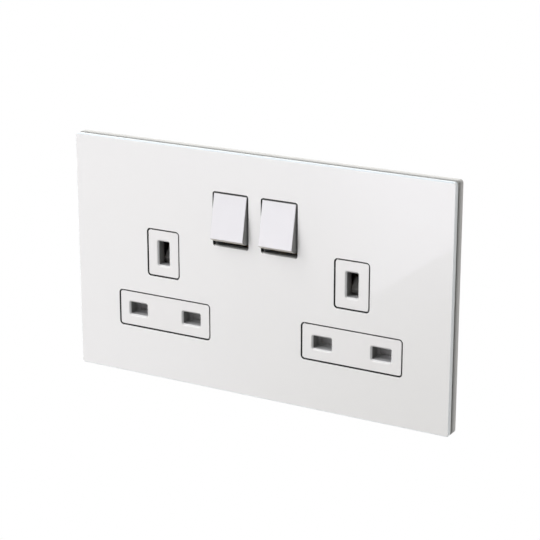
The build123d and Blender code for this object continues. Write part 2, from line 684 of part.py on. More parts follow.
def rocker_body():
    """A rocker about its own pivot, level, with its face towards the front."""
    face_y = -ROCKER_PIVOT_DEPTH
    flare_y = face_y + ROCKER_FLARE_DEPTH
    back_y = face_y + ROCKER_SKIRT_DEPTH
    flare = half_face + ROCKER_FLARE
    width = ROCKER_OPENING_WIDTH - 2 * ROCKER_SIDE_GAP
    outline = polygon([(face_y, -half_face), (flare_y, -flare), (back_y, -flare),
                       (back_y, flare), (flare_y, flare), (face_y, half_face)])
    body = side(outline, 0, width)
    body = fillet(body.faces().sort_by(Axis.Y)[0].edges(), ROCKER_EDGE)
    body -= block(ROCKER_WALL - width / 2, width / 2 - ROCKER_WALL, face_y + ROCKER_WALL, back_y,
                  ROCKER_WALL - half_face, half_face - ROCKER_WALL)
    body += block(-ROCKER_RIB_THICKNESS / 2, ROCKER_RIB_THICKNESS / 2, face_y + ROCKER_WALL,
                  back_y - ROCKER_RIB_INSET, ROCKER_WALL - half_face, half_face - ROCKER_WALL)
    for sign in (-1, 1):
        middle = sign * (width - ROCKER_WALL) / 2
        cheek = side(Circle(CHEEK_RADIUS), middle, ROCKER_WALL)
        cheek += block(middle - ROCKER_WALL / 2, middle + ROCKER_WALL / 2, face_y + ROCKER_WALL, 0,
                       -CHEEK_RADIUS, CHEEK_RADIUS)
        body += cheek
        body += side(Circle(PIVOT_RADIUS), sign * (width + PIVOT_LENGTH) / 2, PIVOT_LENGTH)
    body += rod(0, 0, STEM_RADIUS, face_y + ROCKER_WALL, STEM_LENGTH)
    return body - rod(0, 0, STEM_BORE, face_y + STEM_ROOF + ROCKER_WALL / 2, STEM_LENGTH)


def plunger_body():
    """The round-nosed plunger, about the rocker's pivot."""
    radius = STEM_BORE - PLUNGER_CLEARANCE
    back = PLUNGER_REACH - PLUNGER_LENGTH
    pin = rod(0, 0, radius, back, PLUNGER_REACH)
    return fillet(pin.edges().sort_by(Axis.Y)[-1], radius * 0.85)


def plunger_spring_body():
    """The spring between the roof of the stem and the plunger."""
    roof = -ROCKER_PIVOT_DEPTH + STEM_ROOF + ROCKER_WALL / 2
    end = PLUNGER_REACH - PLUNGER_LENGTH - PLUNGER_TRAVEL_GAP
    spring = coil(PLUNGER_SPRING_RADIUS, PLUNGER_SPRING_WIRE, PLUNGER_SPRING_TURNS, end - roof)
    return Pos(0, roof, 0) * Rot(-90, 0, 0) * spring


def contact_notch_outline():
    """The groove that lets a moving contact rock on its knife edge."""
    depth = KNIFE_SETBACK
    return polygon([(depth, -NOTCH_WIDTH / 2), (depth - NOTCH_DEPTH, 0), (depth, NOTCH_WIDTH / 2)])


def moving_contact_body():
    """A moving contact about its knife edge, level."""
    back = KNIFE_SETBACK
    plate = block(-CONTACT_WIDTH / 2, CONTACT_WIDTH / 2, back - CONTACT_THICKNESS, back,
                  -CONTACT_LENGTH / 2, CONTACT_LENGTH / 2)
    return plate - side(contact_notch_outline(), 0, CONTACT_WIDTH)


def moving_tip_body():
    """The silver tip behind the upper arm of a moving contact."""
    return rod(0, tip_offset, TIP_RADIUS, KNIFE_SETBACK, KNIFE_SETBACK + TIP_HEIGHT)


def rocker_place(x):
    """Where a rocker and what rides in it stand when it is off."""
    return Pos(x, pivot_y, rocker_z) * Rot(-ROCKER_TILT, 0, 0)


def contact_place(x):
    """Where a moving contact stands when its rocker is off."""
    return Pos(x, contact_pivot_y, rocker_z) * Rot(CONTACT_TILT, 0, 0)


def shutter(x):
    """A shutter: a bar over both pin apertures, a tongue and the ramp behind the earth aperture."""
    low = pin_row_z - SHUTTER_BELOW
    high = pin_row_z + SHUTTER_ABOVE
    ramp_low = earth_z - RAMP_DROP
    half = SHUTTER_WIDTH / 2
    tongue = SHUTTER_TONGUE / 2
    shape = block(x - half, x + half, shutter_y, shutter_back_y, low, high)
    shape += block(x - tongue, x + tongue, shutter_y, shutter_back_y, high, ramp_low)
    ramp = polygon([(shutter_back_y, ramp_low), (boss_y + RAMP_FOOT_DEPTH, ramp_low),
                    (boss_y + RAMP_NOSE_DEPTH, earth_z - RAMP_NOSE_DROP),
                    (boss_y + RAMP_HEEL_DEPTH, earth_z),
                    (shutter_back_y, earth_z + RAMP_RISE)])
    shape += side(ramp, x, SHUTTER_RAMP_WIDTH)
    window_low = spring_base_z() - PEG_HEIGHT - PEG_SIDE_GAP
    window_high = ramp_low - RAIL_WALL
    return shape - block(x - WINDOW_WIDTH / 2, x + WINDOW_WIDTH / 2, shutter_y, shutter_back_y,
                         window_low, window_high)


def shutter_spring(x):
    """The spring that pushes a shutter up, standing on its peg."""
    middle_y = (shutter_y + shutter_back_y) / 2
    base = spring_base_z() + SPRING_SEAT_GAP
    return Pos(x, middle_y, base) * coil(SPRING_RADIUS, SPRING_WIRE, SPRING_TURNS, SPRING_LENGTH)


def jaw(start, strap, grip, spread, mouth):
    """The side outline of one leaf of a pin jaw, drawn outwards from the middle of the pin."""
    waist = start + (strap - start) * 0.35
    return [(start, mouth / 2), (waist, grip / 2), (strap - STRIP, spread / 2), (strap, spread / 2)]


def pin_jaw(x):
    """Two leaves above and below a live or neutral pin."""
    shape = Part()
    line = jaw(JAW_START, strap_y + STRIP / 2, JAW_GRIP, JAW_SPREAD, JAW_MOUTH)
    for sign in (-1, 1):
        outline = strip_outline([(y, pin_row_z + sign * (z + LEAF / 2)) for y, z in line], LEAF)
        shape += side(outline, x, JAW_WIDTH)
    width = PIN_STRAP_WIDTH / 2
    reach = JAW_SPREAD / 2 + LEAF
    return shape + strap(x - width, x + width, pin_row_z - reach, pin_row_z + reach)


def earth_jaw(x):
    """Two leaves to the left and right of an earth pin."""
    shape = Part()
    line = jaw(EARTH_JAW_START, earth_strap_y + STRIP / 2, JAW_GRIP, JAW_SPREAD, JAW_MOUTH)
    for sign in (-1, 1):
        outline = strip_outline([(x + sign * (a + LEAF / 2), y) for y, a in line], LEAF)
        shape += Pos(0, 0, earth_z - EARTH_JAW_WIDTH / 2) * extrude(outline, amount=EARTH_JAW_WIDTH)
    return shape


def strap(x_low, x_high, z_low, z_high, y=None):
    """A flat run of strip facing the front."""
    front = strap_y if y is None else y
    return block(x_low, x_high, front, front + STRIP, z_low, z_high)


def pass_hole(name):
    """The hole that a terminal's screw goes through in its strap."""
    x, z, y = terminal_places()[name]
    return rod(x, z, SCREW_RADIUS + SCREW_PASS_CLEARANCE, y, y + STRIP)


def knife_edge(x):
    """The bent tab that a moving contact rocks on."""
    tip = contact_back_y - NOTCH_DEPTH + KNIFE_GAP
    half = STRIP / 2
    shoulder = tip + STRIP
    outline = polygon([(strap_y, -half), (shoulder, -half), (tip, 0), (shoulder, half), (strap_y, half)])
    return side(Pos(0, rocker_z) * outline, x, KNIFE_WIDTH)


def live_busbar():
    """The strip from the live terminal to both knife edges."""
    half = LIVE_STEM_WIDTH / 2
    cross = LIVE_CROSS_WIDTH / 2
    foot_low = terminal_z - TERMINAL_HEIGHT / 2
    foot_high = terminal_z + TERMINAL_HEIGHT / 2
    shape = strap(-half, half, foot_low, rocker_z + cross)
    shape += strap(-half, TERMINAL_X + TERMINAL_WIDTH / 2, foot_low, foot_high)
    shape += strap(-LIVE_CROSS_END, LIVE_CROSS_END, rocker_z - cross, rocker_z + cross)
    for x in rockers.values():
        shape += knife_edge(x)
    return shape - pass_hole("live")


def live_contact(name):
    """The strip from a fixed switch contact to the live pin jaw of its gang."""
    start = rockers[name]
    end = pin_places(gangs[name])[1]
    half = PIN_STRAP_WIDTH / 2
    low = min(start, end) - half
    high = max(start, end) + half
    shape = strap(low, high, live_arm_bottom, live_arm_top)
    shape += strap(end - half, end + half, pin_row_z - STRAP_END_DROP, live_arm_bottom)
    return shape + pin_jaw(end)


def fixed_tip(name):
    """The silver post that a moving contact closes on."""
    lean = radians(CONTACT_TILT)
    reach = (tip_offset + TIP_RADIUS) * sin(lean) + (KNIFE_SETBACK + TIP_HEIGHT) * cos(lean)
    front = contact_pivot_y + reach + CONTACT_GAP
    return rod(rockers[name], rocker_z + tip_offset, TIP_RADIUS, front, strap_y)


def neutral_busbar():
    """The strip that joins the neutral terminal and both neutral pin jaws."""
    half = PIN_STRAP_WIDTH / 2
    ends = [pin_places(x)[0] for x in gangs.values()]
    shape = strap(ends[0] - half, ends[1] + half, neutral_rail_bottom, neutral_rail_top)
    shape += strap(-TERMINAL_X - TERMINAL_WIDTH / 2, -TERMINAL_X + TERMINAL_WIDTH / 2,
                   neutral_rail_top, terminal_z + TERMINAL_HEIGHT / 2)
    for x in ends:
        shape += strap(x - half, x + half, neutral_rail_top, pin_row_z)
        shape += pin_jaw(x)
    return shape - pass_hole("neutral")


def earth_busbar():
    """The strip behind everything else that joins both earth pin jaws and both earth terminals."""
    half = EARTH_STRAP_WIDTH / 2
    reach = GANG_SPACING / 2 + JAW_SPREAD / 2 + LEAF
    shape = strap(-reach, reach, earth_z - half, earth_z + half, earth_strap_y)
    for x in gangs.values():
        shape += earth_jaw(x)
    for name, x in zip(("earth_left", "earth_right"), earth_terminal_xs):
        wide = TERMINAL_WIDTH / 2
        low = earth_terminal_z - TERMINAL_HEIGHT / 2
        shape += strap(x - wide, x + wide, low, earth_z - half, earth_strap_y)
        shape -= pass_hole(name)
    return shape


def terminal(name):
    """A brass block with a bore for the cores and a threaded hole for the screw."""
    x, z, y = terminal_places()[name]
    wide = TERMINAL_WIDTH / 2
    high = TERMINAL_HEIGHT / 2
    shape = block(x - wide, x + wide, y - TERMINAL_DEPTH, y, z - high, z + high)
    shape = chamfer(shape.edges().filter_by(Axis.Z), CABLE_WINDOW_MARGIN)
    bore_y = y - WIRE_BORE_INSET
    shape -= Pos(x, bore_y, z) * Cylinder(WIRE_BORE, TERMINAL_HEIGHT)
    return shape - rod(x, z, SCREW_RADIUS + SCREW_HOLE_CLEARANCE, bore_y, y)


def terminal_screw(name):
    """A slotted screw, driven from the back of the socket."""
    x, z, y = terminal_places()[name]
    head_y = y + STRIP
    top = head_y + SCREW_HEAD_HEIGHT
    shape = rod(x, z, SCREW_RADIUS, head_y - SCREW_SHANK, head_y)
    shape += rod(x, z, SCREW_HEAD_RADIUS, head_y, top)
    slot = block(x - SCREW_HEAD_RADIUS, x + SCREW_HEAD_RADIUS, top - SCREW_SLOT_DEPTH, top,
                 z - SCREW_SLOT_WIDTH / 2, z + SCREW_SLOT_WIDTH / 2)
    return shape - slot


def rivet(x, z):
    """A rivet through the front moulding, the frame and the rear housing."""
    shank = rod(x, z, RIVET_RADIUS, flange_front_y, rear_flange_y)
    front = rod(x, z, RIVET_HEAD_RADIUS, flange_front_y, flange_front_y + RIVET_HEAD_HEIGHT)
    rear = rod(x, z, RIVET_HEAD_RADIUS, rear_flange_y, rear_flange_y + RIVET_HEAD_HEIGHT)
    return shank + front + rear


def whole():
    """Every node's name with its solid."""
    nodes = {
        "glass_plate": glass_plate(),
        "cover_frame": cover_frame(),
        "mounting_frame": mounting_frame(),
        "socket_front": socket_front(),
        "rear_housing": rear_housing(),
        "live_busbar": live_busbar(),
        "neutral_busbar": neutral_busbar(),
        "earth_busbar": earth_busbar(),
        "assembly_rivets": Compound(children=[rivet(x, z) for x, z in rivet_places()]),
    }
    for name in ("left", "right"):
        x = rockers[name]
        nodes["rocker_" + name] = rocker_place(x) * rocker_body()
        nodes["plunger_" + name] = rocker_place(x) * plunger_body()
        nodes["plunger_spring_" + name] = rocker_place(x) * plunger_spring_body()
        nodes["moving_contact_" + name] = contact_place(x) * moving_contact_body()
        nodes["moving_tip_" + name] = contact_place(x) * moving_tip_body()
        nodes["fixed_tip_" + name] = fixed_tip(name)
        nodes["live_contact_" + name] = live_contact(name)
        nodes["shutter_" + name] = shutter(gangs[name])
        nodes["shutter_spring_" + name] = shutter_spring(gangs[name])
    for name in terminal_places():
        nodes[name + "_terminal"] = terminal(name)
        nodes[name + "_screw"] = terminal_screw(name)
    return nodes


for node, shape in whole().items():
    export_step(shape, f"parts/{node}.step")
    print(node, "volume", round(shape.volume, 1), "cubic mm")
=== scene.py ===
# %% [markdown]
# # A two-gang glass-fronted wall socket
# The solids of the socket come in as a fixed frame, in metres, with -Y towards the person in
# front of it and +Z up. This lesson gives each piece its finish, makes the small parts that
# are better drawn as meshes, and sets up a plain bright studio round it.

# %% The frame
import json
import math

import bmesh
import bpy
from mathutils import Matrix, Vector


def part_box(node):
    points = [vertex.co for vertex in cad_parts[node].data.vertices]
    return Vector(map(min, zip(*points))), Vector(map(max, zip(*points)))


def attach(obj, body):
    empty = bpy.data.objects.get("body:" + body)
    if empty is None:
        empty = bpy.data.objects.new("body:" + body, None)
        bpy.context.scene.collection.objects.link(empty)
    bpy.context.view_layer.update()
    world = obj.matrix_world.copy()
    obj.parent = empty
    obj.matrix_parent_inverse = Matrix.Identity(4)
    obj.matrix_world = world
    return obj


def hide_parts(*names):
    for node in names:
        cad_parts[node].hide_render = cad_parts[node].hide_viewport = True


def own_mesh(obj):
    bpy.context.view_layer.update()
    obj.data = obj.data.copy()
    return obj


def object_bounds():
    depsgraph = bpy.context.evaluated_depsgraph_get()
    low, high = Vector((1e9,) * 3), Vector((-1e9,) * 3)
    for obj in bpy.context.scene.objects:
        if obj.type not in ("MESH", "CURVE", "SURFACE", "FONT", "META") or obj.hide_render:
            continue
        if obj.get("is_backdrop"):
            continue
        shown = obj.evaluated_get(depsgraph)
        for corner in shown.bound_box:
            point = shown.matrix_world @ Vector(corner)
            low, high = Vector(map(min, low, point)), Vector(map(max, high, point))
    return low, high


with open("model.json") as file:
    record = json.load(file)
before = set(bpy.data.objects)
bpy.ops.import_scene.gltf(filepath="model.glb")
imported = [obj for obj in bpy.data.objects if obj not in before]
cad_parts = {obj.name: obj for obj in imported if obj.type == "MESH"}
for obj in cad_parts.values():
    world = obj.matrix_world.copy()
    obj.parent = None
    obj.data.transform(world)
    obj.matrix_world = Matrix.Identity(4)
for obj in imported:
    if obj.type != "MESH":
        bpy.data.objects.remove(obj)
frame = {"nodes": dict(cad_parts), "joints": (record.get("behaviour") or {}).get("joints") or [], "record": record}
cad_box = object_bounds()
MM = 0.001
IMAGE_SIZE = 540
scene = bpy.context.scene
scene.view_settings.view_transform = "Standard"
print("nodes:", len(frame["nodes"]))

# %% [markdown]
# ## The sizes that the looks need
# Most finishes change near an edge or below a face, so they need to know where those are.
# Each place is read from a solid's own box, so it follows the solid if that changes size.

# %% Places read from the solids
glass_low, glass_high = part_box("glass_plate")
plate_half_width = glass_high.x
plate_half_height = glass_high.z
glass_front = glass_low.y
print("plate, mm:", round(2000 * plate_half_width, 1), "by", round(2000 * plate_half_height, 1))

# %% [markdown]
# ## The camera
# The socket is seen from the right and from a little above, with a long lens. The place of the
# camera is given from the middle of the plate's front face, and its turn is worked out from
# two angles: how far round to the right it stands, and how far up. A camera that tracks the
# middle of the socket would be simpler, but then nothing could stand off the picture's middle.

# %% The camera
CAMERA_FROM_PLATE = Vector((0.29082, -0.49136, 0.17653))
CAMERA_AZIMUTH = math.radians(30.098)
CAMERA_ELEVATION = math.radians(16.879)
FOCAL_PIXELS = 1756.2
SENSOR_WIDTH = 36.0
NEAREST_SEEN = 10 * MM

camera = bpy.data.objects.new("camera", bpy.data.cameras.new("camera"))
scene.collection.objects.link(camera)
camera.data.sensor_width = SENSOR_WIDTH
camera.data.lens = FOCAL_PIXELS / IMAGE_SIZE * SENSOR_WIDTH
camera.data.clip_start = NEAREST_SEEN
camera.location = Vector((0, glass_front, 0)) + CAMERA_FROM_PLATE
level = math.cos(CAMERA_ELEVATION)
backwards = Vector((
    math.sin(CAMERA_AZIMUTH) * level,
    -math.cos(CAMERA_AZIMUTH) * level,
    math.sin(CAMERA_ELEVATION),
))
camera.rotation_mode = "QUATERNION"
camera.rotation_quaternion = (-backwards).to_track_quat("-Z", "Y")
scene.camera = camera
print("lens, mm:", round(camera.data.lens, 2))

# %% [markdown]
# ## Writing node trees as sums
# A finish or a form is a tree of nodes. Written out one by one they hide the idea, so a small
# class wraps a socket, and ordinary signs between sockets add the Math nodes. Every other node
# comes from one method, which sets the node's own settings first and its sockets after that.
# Dragging links by hand gives the same tree, but a sum can be read and changed.

# %% Sockets that can be added and multiplied
class Wire:
    """A socket of a tree, which takes part in sums."""

    def __init__(self, tree, socket):
        self.tree = tree
        self.socket = socket

    def sum(self, operation, *values):
        return self.tree.node("ShaderNodeMath", {"operation": operation}, dict(enumerate(values)))

    def __add__(self, other):
        return self.sum("ADD", self, other)

    def __sub__(self, other):
        return self.sum("SUBTRACT", self, other)

    def __rsub__(self, other):
        return self.sum("SUBTRACT", other, self)

    def __mul__(self, other):
        return self.sum("MULTIPLY", self, other)

    def __truediv__(self, other):
        return self.sum("DIVIDE", self, other)

    def __abs__(self):
        return self.sum("ABSOLUTE", self)

    def __gt__(self, other):
        return self.sum("GREATER_THAN", self, other)

    def __lt__(self, other):
        return self.sum("LESS_THAN", self, other)

    def most(self, other):
        return self.sum("MAXIMUM", self, other)

    def least(self, other):
        return self.sum("MINIMUM", self, other)

    def between(self, low, high):
        """0 at low, 1 at high, and smooth in between."""
        values = {"Value": self, "From Min": low, "From Max": high}
        return self.tree.node("ShaderNodeMapRange", {"interpolation_type": "SMOOTHSTEP"}, values)

    __radd__ = __add__
    __rmul__ = __mul__


print("a socket can now be added, multiplied and compared")

# %% [markdown]
# The tree itself is a second small class. Its first method adds any node, and the others say
# in one word what comes up often: taking a place apart into its axes, and ending the tree.

# %% A tree of nodes
class Tree:
    """A node tree that starts empty."""

    def __init__(self, tree):
        self.tree = tree
        tree.nodes.clear()

    def node(self, kind, settings=None, values=None, out=0):
        """Add a node, set it, fill its sockets with values or links, and return one output."""
        node = self.tree.nodes.new(kind)
        for name, value in (settings or {}).items():
            setattr(node, name, value)
        for name, value in (values or {}).items():
            if isinstance(value, Wire):
                self.tree.links.new(value.socket, node.inputs[name])
            else:
                node.inputs[name].default_value = value
        return Wire(self, node.outputs[out])

    def axes(self, place):
        """The X, Y and Z of a place."""
        return [self.node("ShaderNodeSeparateXYZ", None, {"Vector": place}, out) for out in range(3)]

    def end(self, kind, **links):
        """Add the output node and link what it takes."""
        node = self.tree.nodes.new(kind)
        for name, wire in links.items():
            self.tree.links.new(wire.socket, node.inputs[name])


print("trees ready")

# %% [markdown]
# A finish is a material's tree with a few more words: where a point is, what noise does there,
# how two colours mix, and how a height becomes a bump. All of them read the place on the
# piece in metres, so a grain of a tenth of a millimetre stays one on every piece.

# %% The words of a finish
EDGE_SAMPLES = 6


def rgba(colour):
    """A colour as the four numbers that a socket wants, or a link as it is."""
    return colour if isinstance(colour, Wire) else (*colour, 1.0)


class Finish(Tree):
    """A material that is being made."""

    def __init__(self, name):
        self.material = bpy.data.materials.new(name)
        self.material.use_nodes = True
        super().__init__(self.material.node_tree)

    def place(self):
        """The point on the piece, in metres, in the frame of the solids."""
        return self.node("ShaderNodeTexCoord", out="Object")

    def facing(self):
        """The X, Y and Z of the way that the surface faces, on the piece itself."""
        return self.axes(self.node("ShaderNodeTexCoord", out="Normal"))

    def mapped(self, place, shift=(0, 0, 0), turn=(0, 0, 0), scale=(1, 1, 1)):
        """A place that is stretched, turned and moved, in that order."""
        values = {"Vector": place, "Location": shift, "Rotation": turn, "Scale": scale}
        return self.node("ShaderNodeMapping", None, values)

    def noise(self, place, size, detail=2.0, roughness=0.5):
        """Soft noise from 0 to 1, with patches of about the given size."""
        values = {"Vector": place, "Scale": 1 / size, "Detail": detail, "Roughness": roughness}
        return self.node("ShaderNodeTexNoise", None, values)

    def colours(self, factor, first, second):
        """One colour turning into another. Sockets 6 and 7 of a Mix node are its two colours."""
        values = {0: factor, 6: rgba(first), 7: rgba(second)}
        return self.node("ShaderNodeMix", {"data_type": "RGBA"}, values, out=2)

    def soft_edges(self, radius):
        """The normal of the surface with its sharp edges rounded off."""
        return self.node("ShaderNodeBevel", {"samples": EDGE_SAMPLES}, {"Radius": radius})

    def bump(self, height, distance, normal=None):
        """The normal of a surface that is raised by a height from 0 to 1."""
        values = {"Height": height, "Distance": distance}
        if normal:
            values["Normal"] = normal
        return self.node("ShaderNodeBump", None, values)

    def surface(self, **values):
        """The Principled surface that ends the material."""
        named = {name.replace("_", " ").title(): value for name, value in values.items()}
        if "Ior" in named:
            named["IOR"] = named.pop("Ior")
        self.end("ShaderNodeOutputMaterial", Surface=self.node("ShaderNodeBsdfPrincipled", None, named))
        print(self.material.name, "nodes:", len(self.tree.nodes))
        return self.material


finishes = {}
print("finishes can be made")

# %% [markdown]
# ## The glass front
# The plate is clear glass, polished all round and painted white on its back. It could be a
# clear slab over a white sheet, but each view would then need many bounces of light. Here one
# surface does both: the paint gives the colour, and the polished face gives the shine. Only
# the edge shows that it is glass: a pale green-grey band, the glass's own tint, painted a
# little lighter towards the front and darker towards the back as painted shade of the groove,
# and bluer on top as a painted reflection of the sky. The cut edge of each opening is painted
# nearly black as painted shade of the dark behind the plate, except below the rockers, where
# it faces up and is painted light as painted light.

# %% White painted glass
PAINT_WHITE = (0.780, 0.769, 0.754)
PAINT_WHITE_COOLER = (0.777, 0.769, 0.762)
PAINT_PATCH = 60 * MM
EDGE_GREEN = (0.88, 0.92, 0.90)
EDGE_PALE = (0.91, 0.94, 0.95)
EDGE_SKY_REFLECTION = (0.60, 0.66, 0.70)
OPENING_EDGE_SHADE = (0.05, 0.052, 0.052)
ROCKER_SILL_LIGHT = (0.80, 0.81, 0.80)
ROCKER_OPENINGS = 17.5 * MM
OPENING_MARGIN = 8.0 * MM
GLASS_CHAMFER = 0.4 * MM
GLASS_THICKNESS = glass_high.y - glass_front
GLASS_IOR = 1.5
GLASS_ROUGHNESS = 0.015
EDGE_ROUGHNESS = 0.12
WAVE_SIZE = 40 * MM
WAVE_DEPTH = 0.003 * MM
LINE = 0.02 * MM
MOSTLY = 0.7


def painted_glass():
    finish = Finish("white_glass")
    place = finish.place()
    x, y, z = finish.axes(place)
    upwards = finish.facing()[2] > MOSTLY
    paint = finish.colours(finish.noise(place, PAINT_PATCH), PAINT_WHITE, PAINT_WHITE_COOLER)
    opening = (y > glass_front + LINE) * (abs(x) < plate_half_width - OPENING_MARGIN)
    # painted shade: the cut edges of the openings are nearly black, and the cut that faces up below the rockers is
    # painted light as painted light
    cut = finish.colours(upwards * (abs(x) < ROCKER_OPENINGS), OPENING_EDGE_SHADE, ROCKER_SILL_LIGHT)
    inside_x = plate_half_width - GLASS_CHAMFER - abs(x)
    inside_z = plate_half_height - GLASS_CHAMFER - abs(z)
    edge = inside_x.least(inside_z) < LINE
    depth = (y - glass_front).between(0.0, GLASS_THICKNESS)
    # the edge's green-grey is the glass's own tint; its lighter front and darker back are painted shade, and its
    # bluer top is a painted reflection of the sky
    rim = finish.colours(upwards, finish.colours(depth, EDGE_PALE, EDGE_GREEN), EDGE_SKY_REFLECTION)
    wave = finish.noise(place, WAVE_SIZE, detail=0.0)
    return finish.surface(
        base_color=finish.colours(edge, finish.colours(opening, paint, cut), rim),
        roughness=GLASS_ROUGHNESS + edge * EDGE_ROUGHNESS,
        normal=finish.bump(wave, WAVE_DEPTH),
        ior=GLASS_IOR,
    )


finishes["white_glass"] = painted_glass()

# %% [markdown]
# ## Moulded plastics
# Every moulding has the skin of its mould. A glossy one is nearly flat, with a faint ripple
# where the plastic cooled. A matt one has a fine spark-eroded grain, which a noise of a tenth
# of a millimetre gives. Sharp edges don't exist on a moulding, so each gets a small round.
# The round could be cut into the mesh, but a Bevel node only turns the light there, which is
# enough at this size. One function makes them all, from a colour, a shine and a grain.

# %% Moulded plastic
PLASTIC_IOR = 1.49
MOULD_ROUND = 0.12 * MM
SINK_SIZE = 6 * MM
SINK_DEPTH = 0.008 * MM
CLOUD_SIZE = 12 * MM
CLOUD_SHADE = 0.965
CLOUD_SPREAD = 0.06
FINE_GRAIN = 0.12 * MM
COARSE_GRAIN = 0.2 * MM


def plastic_skin(finish, place, grain=0.0, grain_size=FINE_GRAIN):
    """Rounded edges, the faint ripple of cooling, and the grain of the mould if it has one."""
    ripple = finish.noise(place, SINK_SIZE, detail=1.0)
    normal = finish.bump(ripple, SINK_DEPTH, finish.soft_edges(MOULD_ROUND))
    if grain:
        fine = finish.noise(place, grain_size, detail=3.0, roughness=0.6)
        normal = finish.bump(fine, grain, normal)
    return normal


def moulded(name, colour, roughness, grain, grain_size):
    finish = Finish(name)
    place = finish.place()
    cloud = finish.noise(place, CLOUD_SIZE, detail=3.0)
    return finish.surface(
        base_color=finish.colours(cloud, colour, tuple(CLOUD_SHADE * part for part in colour)),
        roughness=roughness + (cloud - 0.5) * CLOUD_SPREAD,
        normal=plastic_skin(finish, place, grain, grain_size),
        ior=PLASTIC_IOR,
    )


print("grain of a matt moulding, mm:", round(FINE_GRAIN / MM, 2), "or", round(COARSE_GRAIN / MM, 2))

# %% [markdown]
# Four plastics need no more than that: the carrier on the back of the glass, the deep housing,
# the nylon plungers and the shutters behind the apertures. The shutters are white plastic, but
# are painted a mid grey as painted shade of the apertures they sit behind.

# %% The plain plastics: colour, roughness, depth of the grain and its size
PLAIN_PLASTICS = {
    "carrier_plastic": ((0.52, 0.53, 0.53), 0.5, 0.006 * MM, FINE_GRAIN),
    "rear_moulding": ((0.72, 0.71, 0.68), 0.45, 0.012 * MM, COARSE_GRAIN),
    "nylon": ((0.74, 0.72, 0.66), 0.38, 0.0, FINE_GRAIN),
    # painted shade: the white shutter is given a mid grey for the dark of the apertures
    "shutter_white": ((0.56, 0.55, 0.54), 0.35, 0.0, FINE_GRAIN),
}
for name, values in PLAIN_PLASTICS.items():
    finishes[name] = moulded(name, *values)

# %% [markdown]
# ## The rockers
# A rocker is white only where a finger meets it. Its flanks and its skirt, which show below
# and beside the raised end, are painted a duller grey as painted shade, the narrow face below,
# which looks down, is painted a little darker than the front as painted shade, and the upper
# end, which looks up, is painted as dark as the gap it stands in, as painted shade of that gap.
# The solid leans, so the place is first turned to the rocker's own axes, and the depth then
# says where the white ends. Two materials would need the faces of the mesh sorted, and a
# solid's mesh is left alone, so one material with masks does it. Both rockers share it,
# because they lean alike.

# %% Rocker plastic
ROCKER_WHITE = (0.725, 0.712, 0.730)
ROCKER_FLANK_SHADE = (0.28, 0.28, 0.275)
ROCKER_LOWER_END_SHADE = (0.66, 0.62, 0.56)
ROCKER_UPPER_END_SHADE = (0.24, 0.24, 0.24)
ROCKER_FACE_BACK = -4.95 * MM
ROCKER_ROUGHNESS = 0.16
ROCKER_PATCH = 9 * MM
DULLER = 0.3
BLACK = (0.0, 0.0, 0.0)
FAINT = 0.04

joints = {joint["name"]: joint for joint in frame["joints"]}
lean = Vector(joints["plunger_left_slide"]["axis"])
rocker_tilt = math.atan2(lean.z, -lean.y)
rocker_pivot = Vector(joints["rocker_left_hinge"]["pos_m"])
print("rocker leans, degrees:", round(math.degrees(rocker_tilt), 2))


def rocker_plastic():
    finish = Finish("rocker_white")
    place = finish.place()
    facing = finish.facing()
    from_pivot = finish.node("ShaderNodeVectorMath", {"operation": "SUBTRACT"}, {0: place, 1: rocker_pivot})
    depth = finish.axes(finish.mapped(from_pivot, turn=(rocker_tilt, 0, 0)))[1]
    # painted shade: grey on the flanks and skirt, and darker on the face that looks down and on the end that looks
    # up
    grey = (depth > ROCKER_FACE_BACK).most(abs(facing[0]) > MOSTLY)
    face = finish.colours(facing[2] < -MOSTLY, ROCKER_WHITE, ROCKER_LOWER_END_SHADE)
    face = finish.colours(facing[2] > MOSTLY, face, ROCKER_UPPER_END_SHADE)
    cloud = finish.noise(place, ROCKER_PATCH, detail=2.0)
    return finish.surface(
        base_color=finish.colours(cloud * FAINT, finish.colours(grey, face, ROCKER_FLANK_SHADE), BLACK),
        roughness=ROCKER_ROUGHNESS + grey * DULLER,
        normal=plastic_skin(finish, place),
        ior=PLASTIC_IOR,
    )


finishes["rocker_white"] = rocker_plastic()

# %% [markdown]
# ## Metals
# Strip brass keeps the lines of the rollers, bar brass keeps the turned marks of the cutter,
# and plated steel is smooth with small stains. A stretched noise gives the lines: it is
# squeezed along one axis, so its grains become long there. One function makes all of them.

# %% Metal
METAL_ROUND = 0.06 * MM
LINE_WIDTH = 0.08 * MM
LINE_DEPTH = 0.002 * MM
LINE_DULLNESS = 0.12
STAIN_SIZE = 3 * MM
STAIN_RANGE = (0.35, 0.75)
STAIN_DULLNESS = 0.06


def metal(name, colour, stain, roughness, line_scale):
    finish = Finish(name)
    place = finish.place()
    lines = finish.noise(finish.mapped(place, scale=line_scale), LINE_WIDTH, detail=3.0)
    tarnish = finish.noise(place, STAIN_SIZE, detail=4.0).between(*STAIN_RANGE)
    return finish.surface(
        base_color=finish.colours(tarnish, colour, stain),
        metallic=1.0,
        roughness=roughness + lines * LINE_DULLNESS + tarnish * STAIN_DULLNESS,
        normal=finish.bump(lines, LINE_DEPTH, finish.soft_edges(METAL_ROUND)),
    )


print("lines on metal, mm wide:", round(LINE_WIDTH / MM, 2))

# %% [markdown]
# The lines on the brass strip stand upright, and those on the terminal blocks lie across.
# Springs, tips, screws and rivets have no lines to speak of.

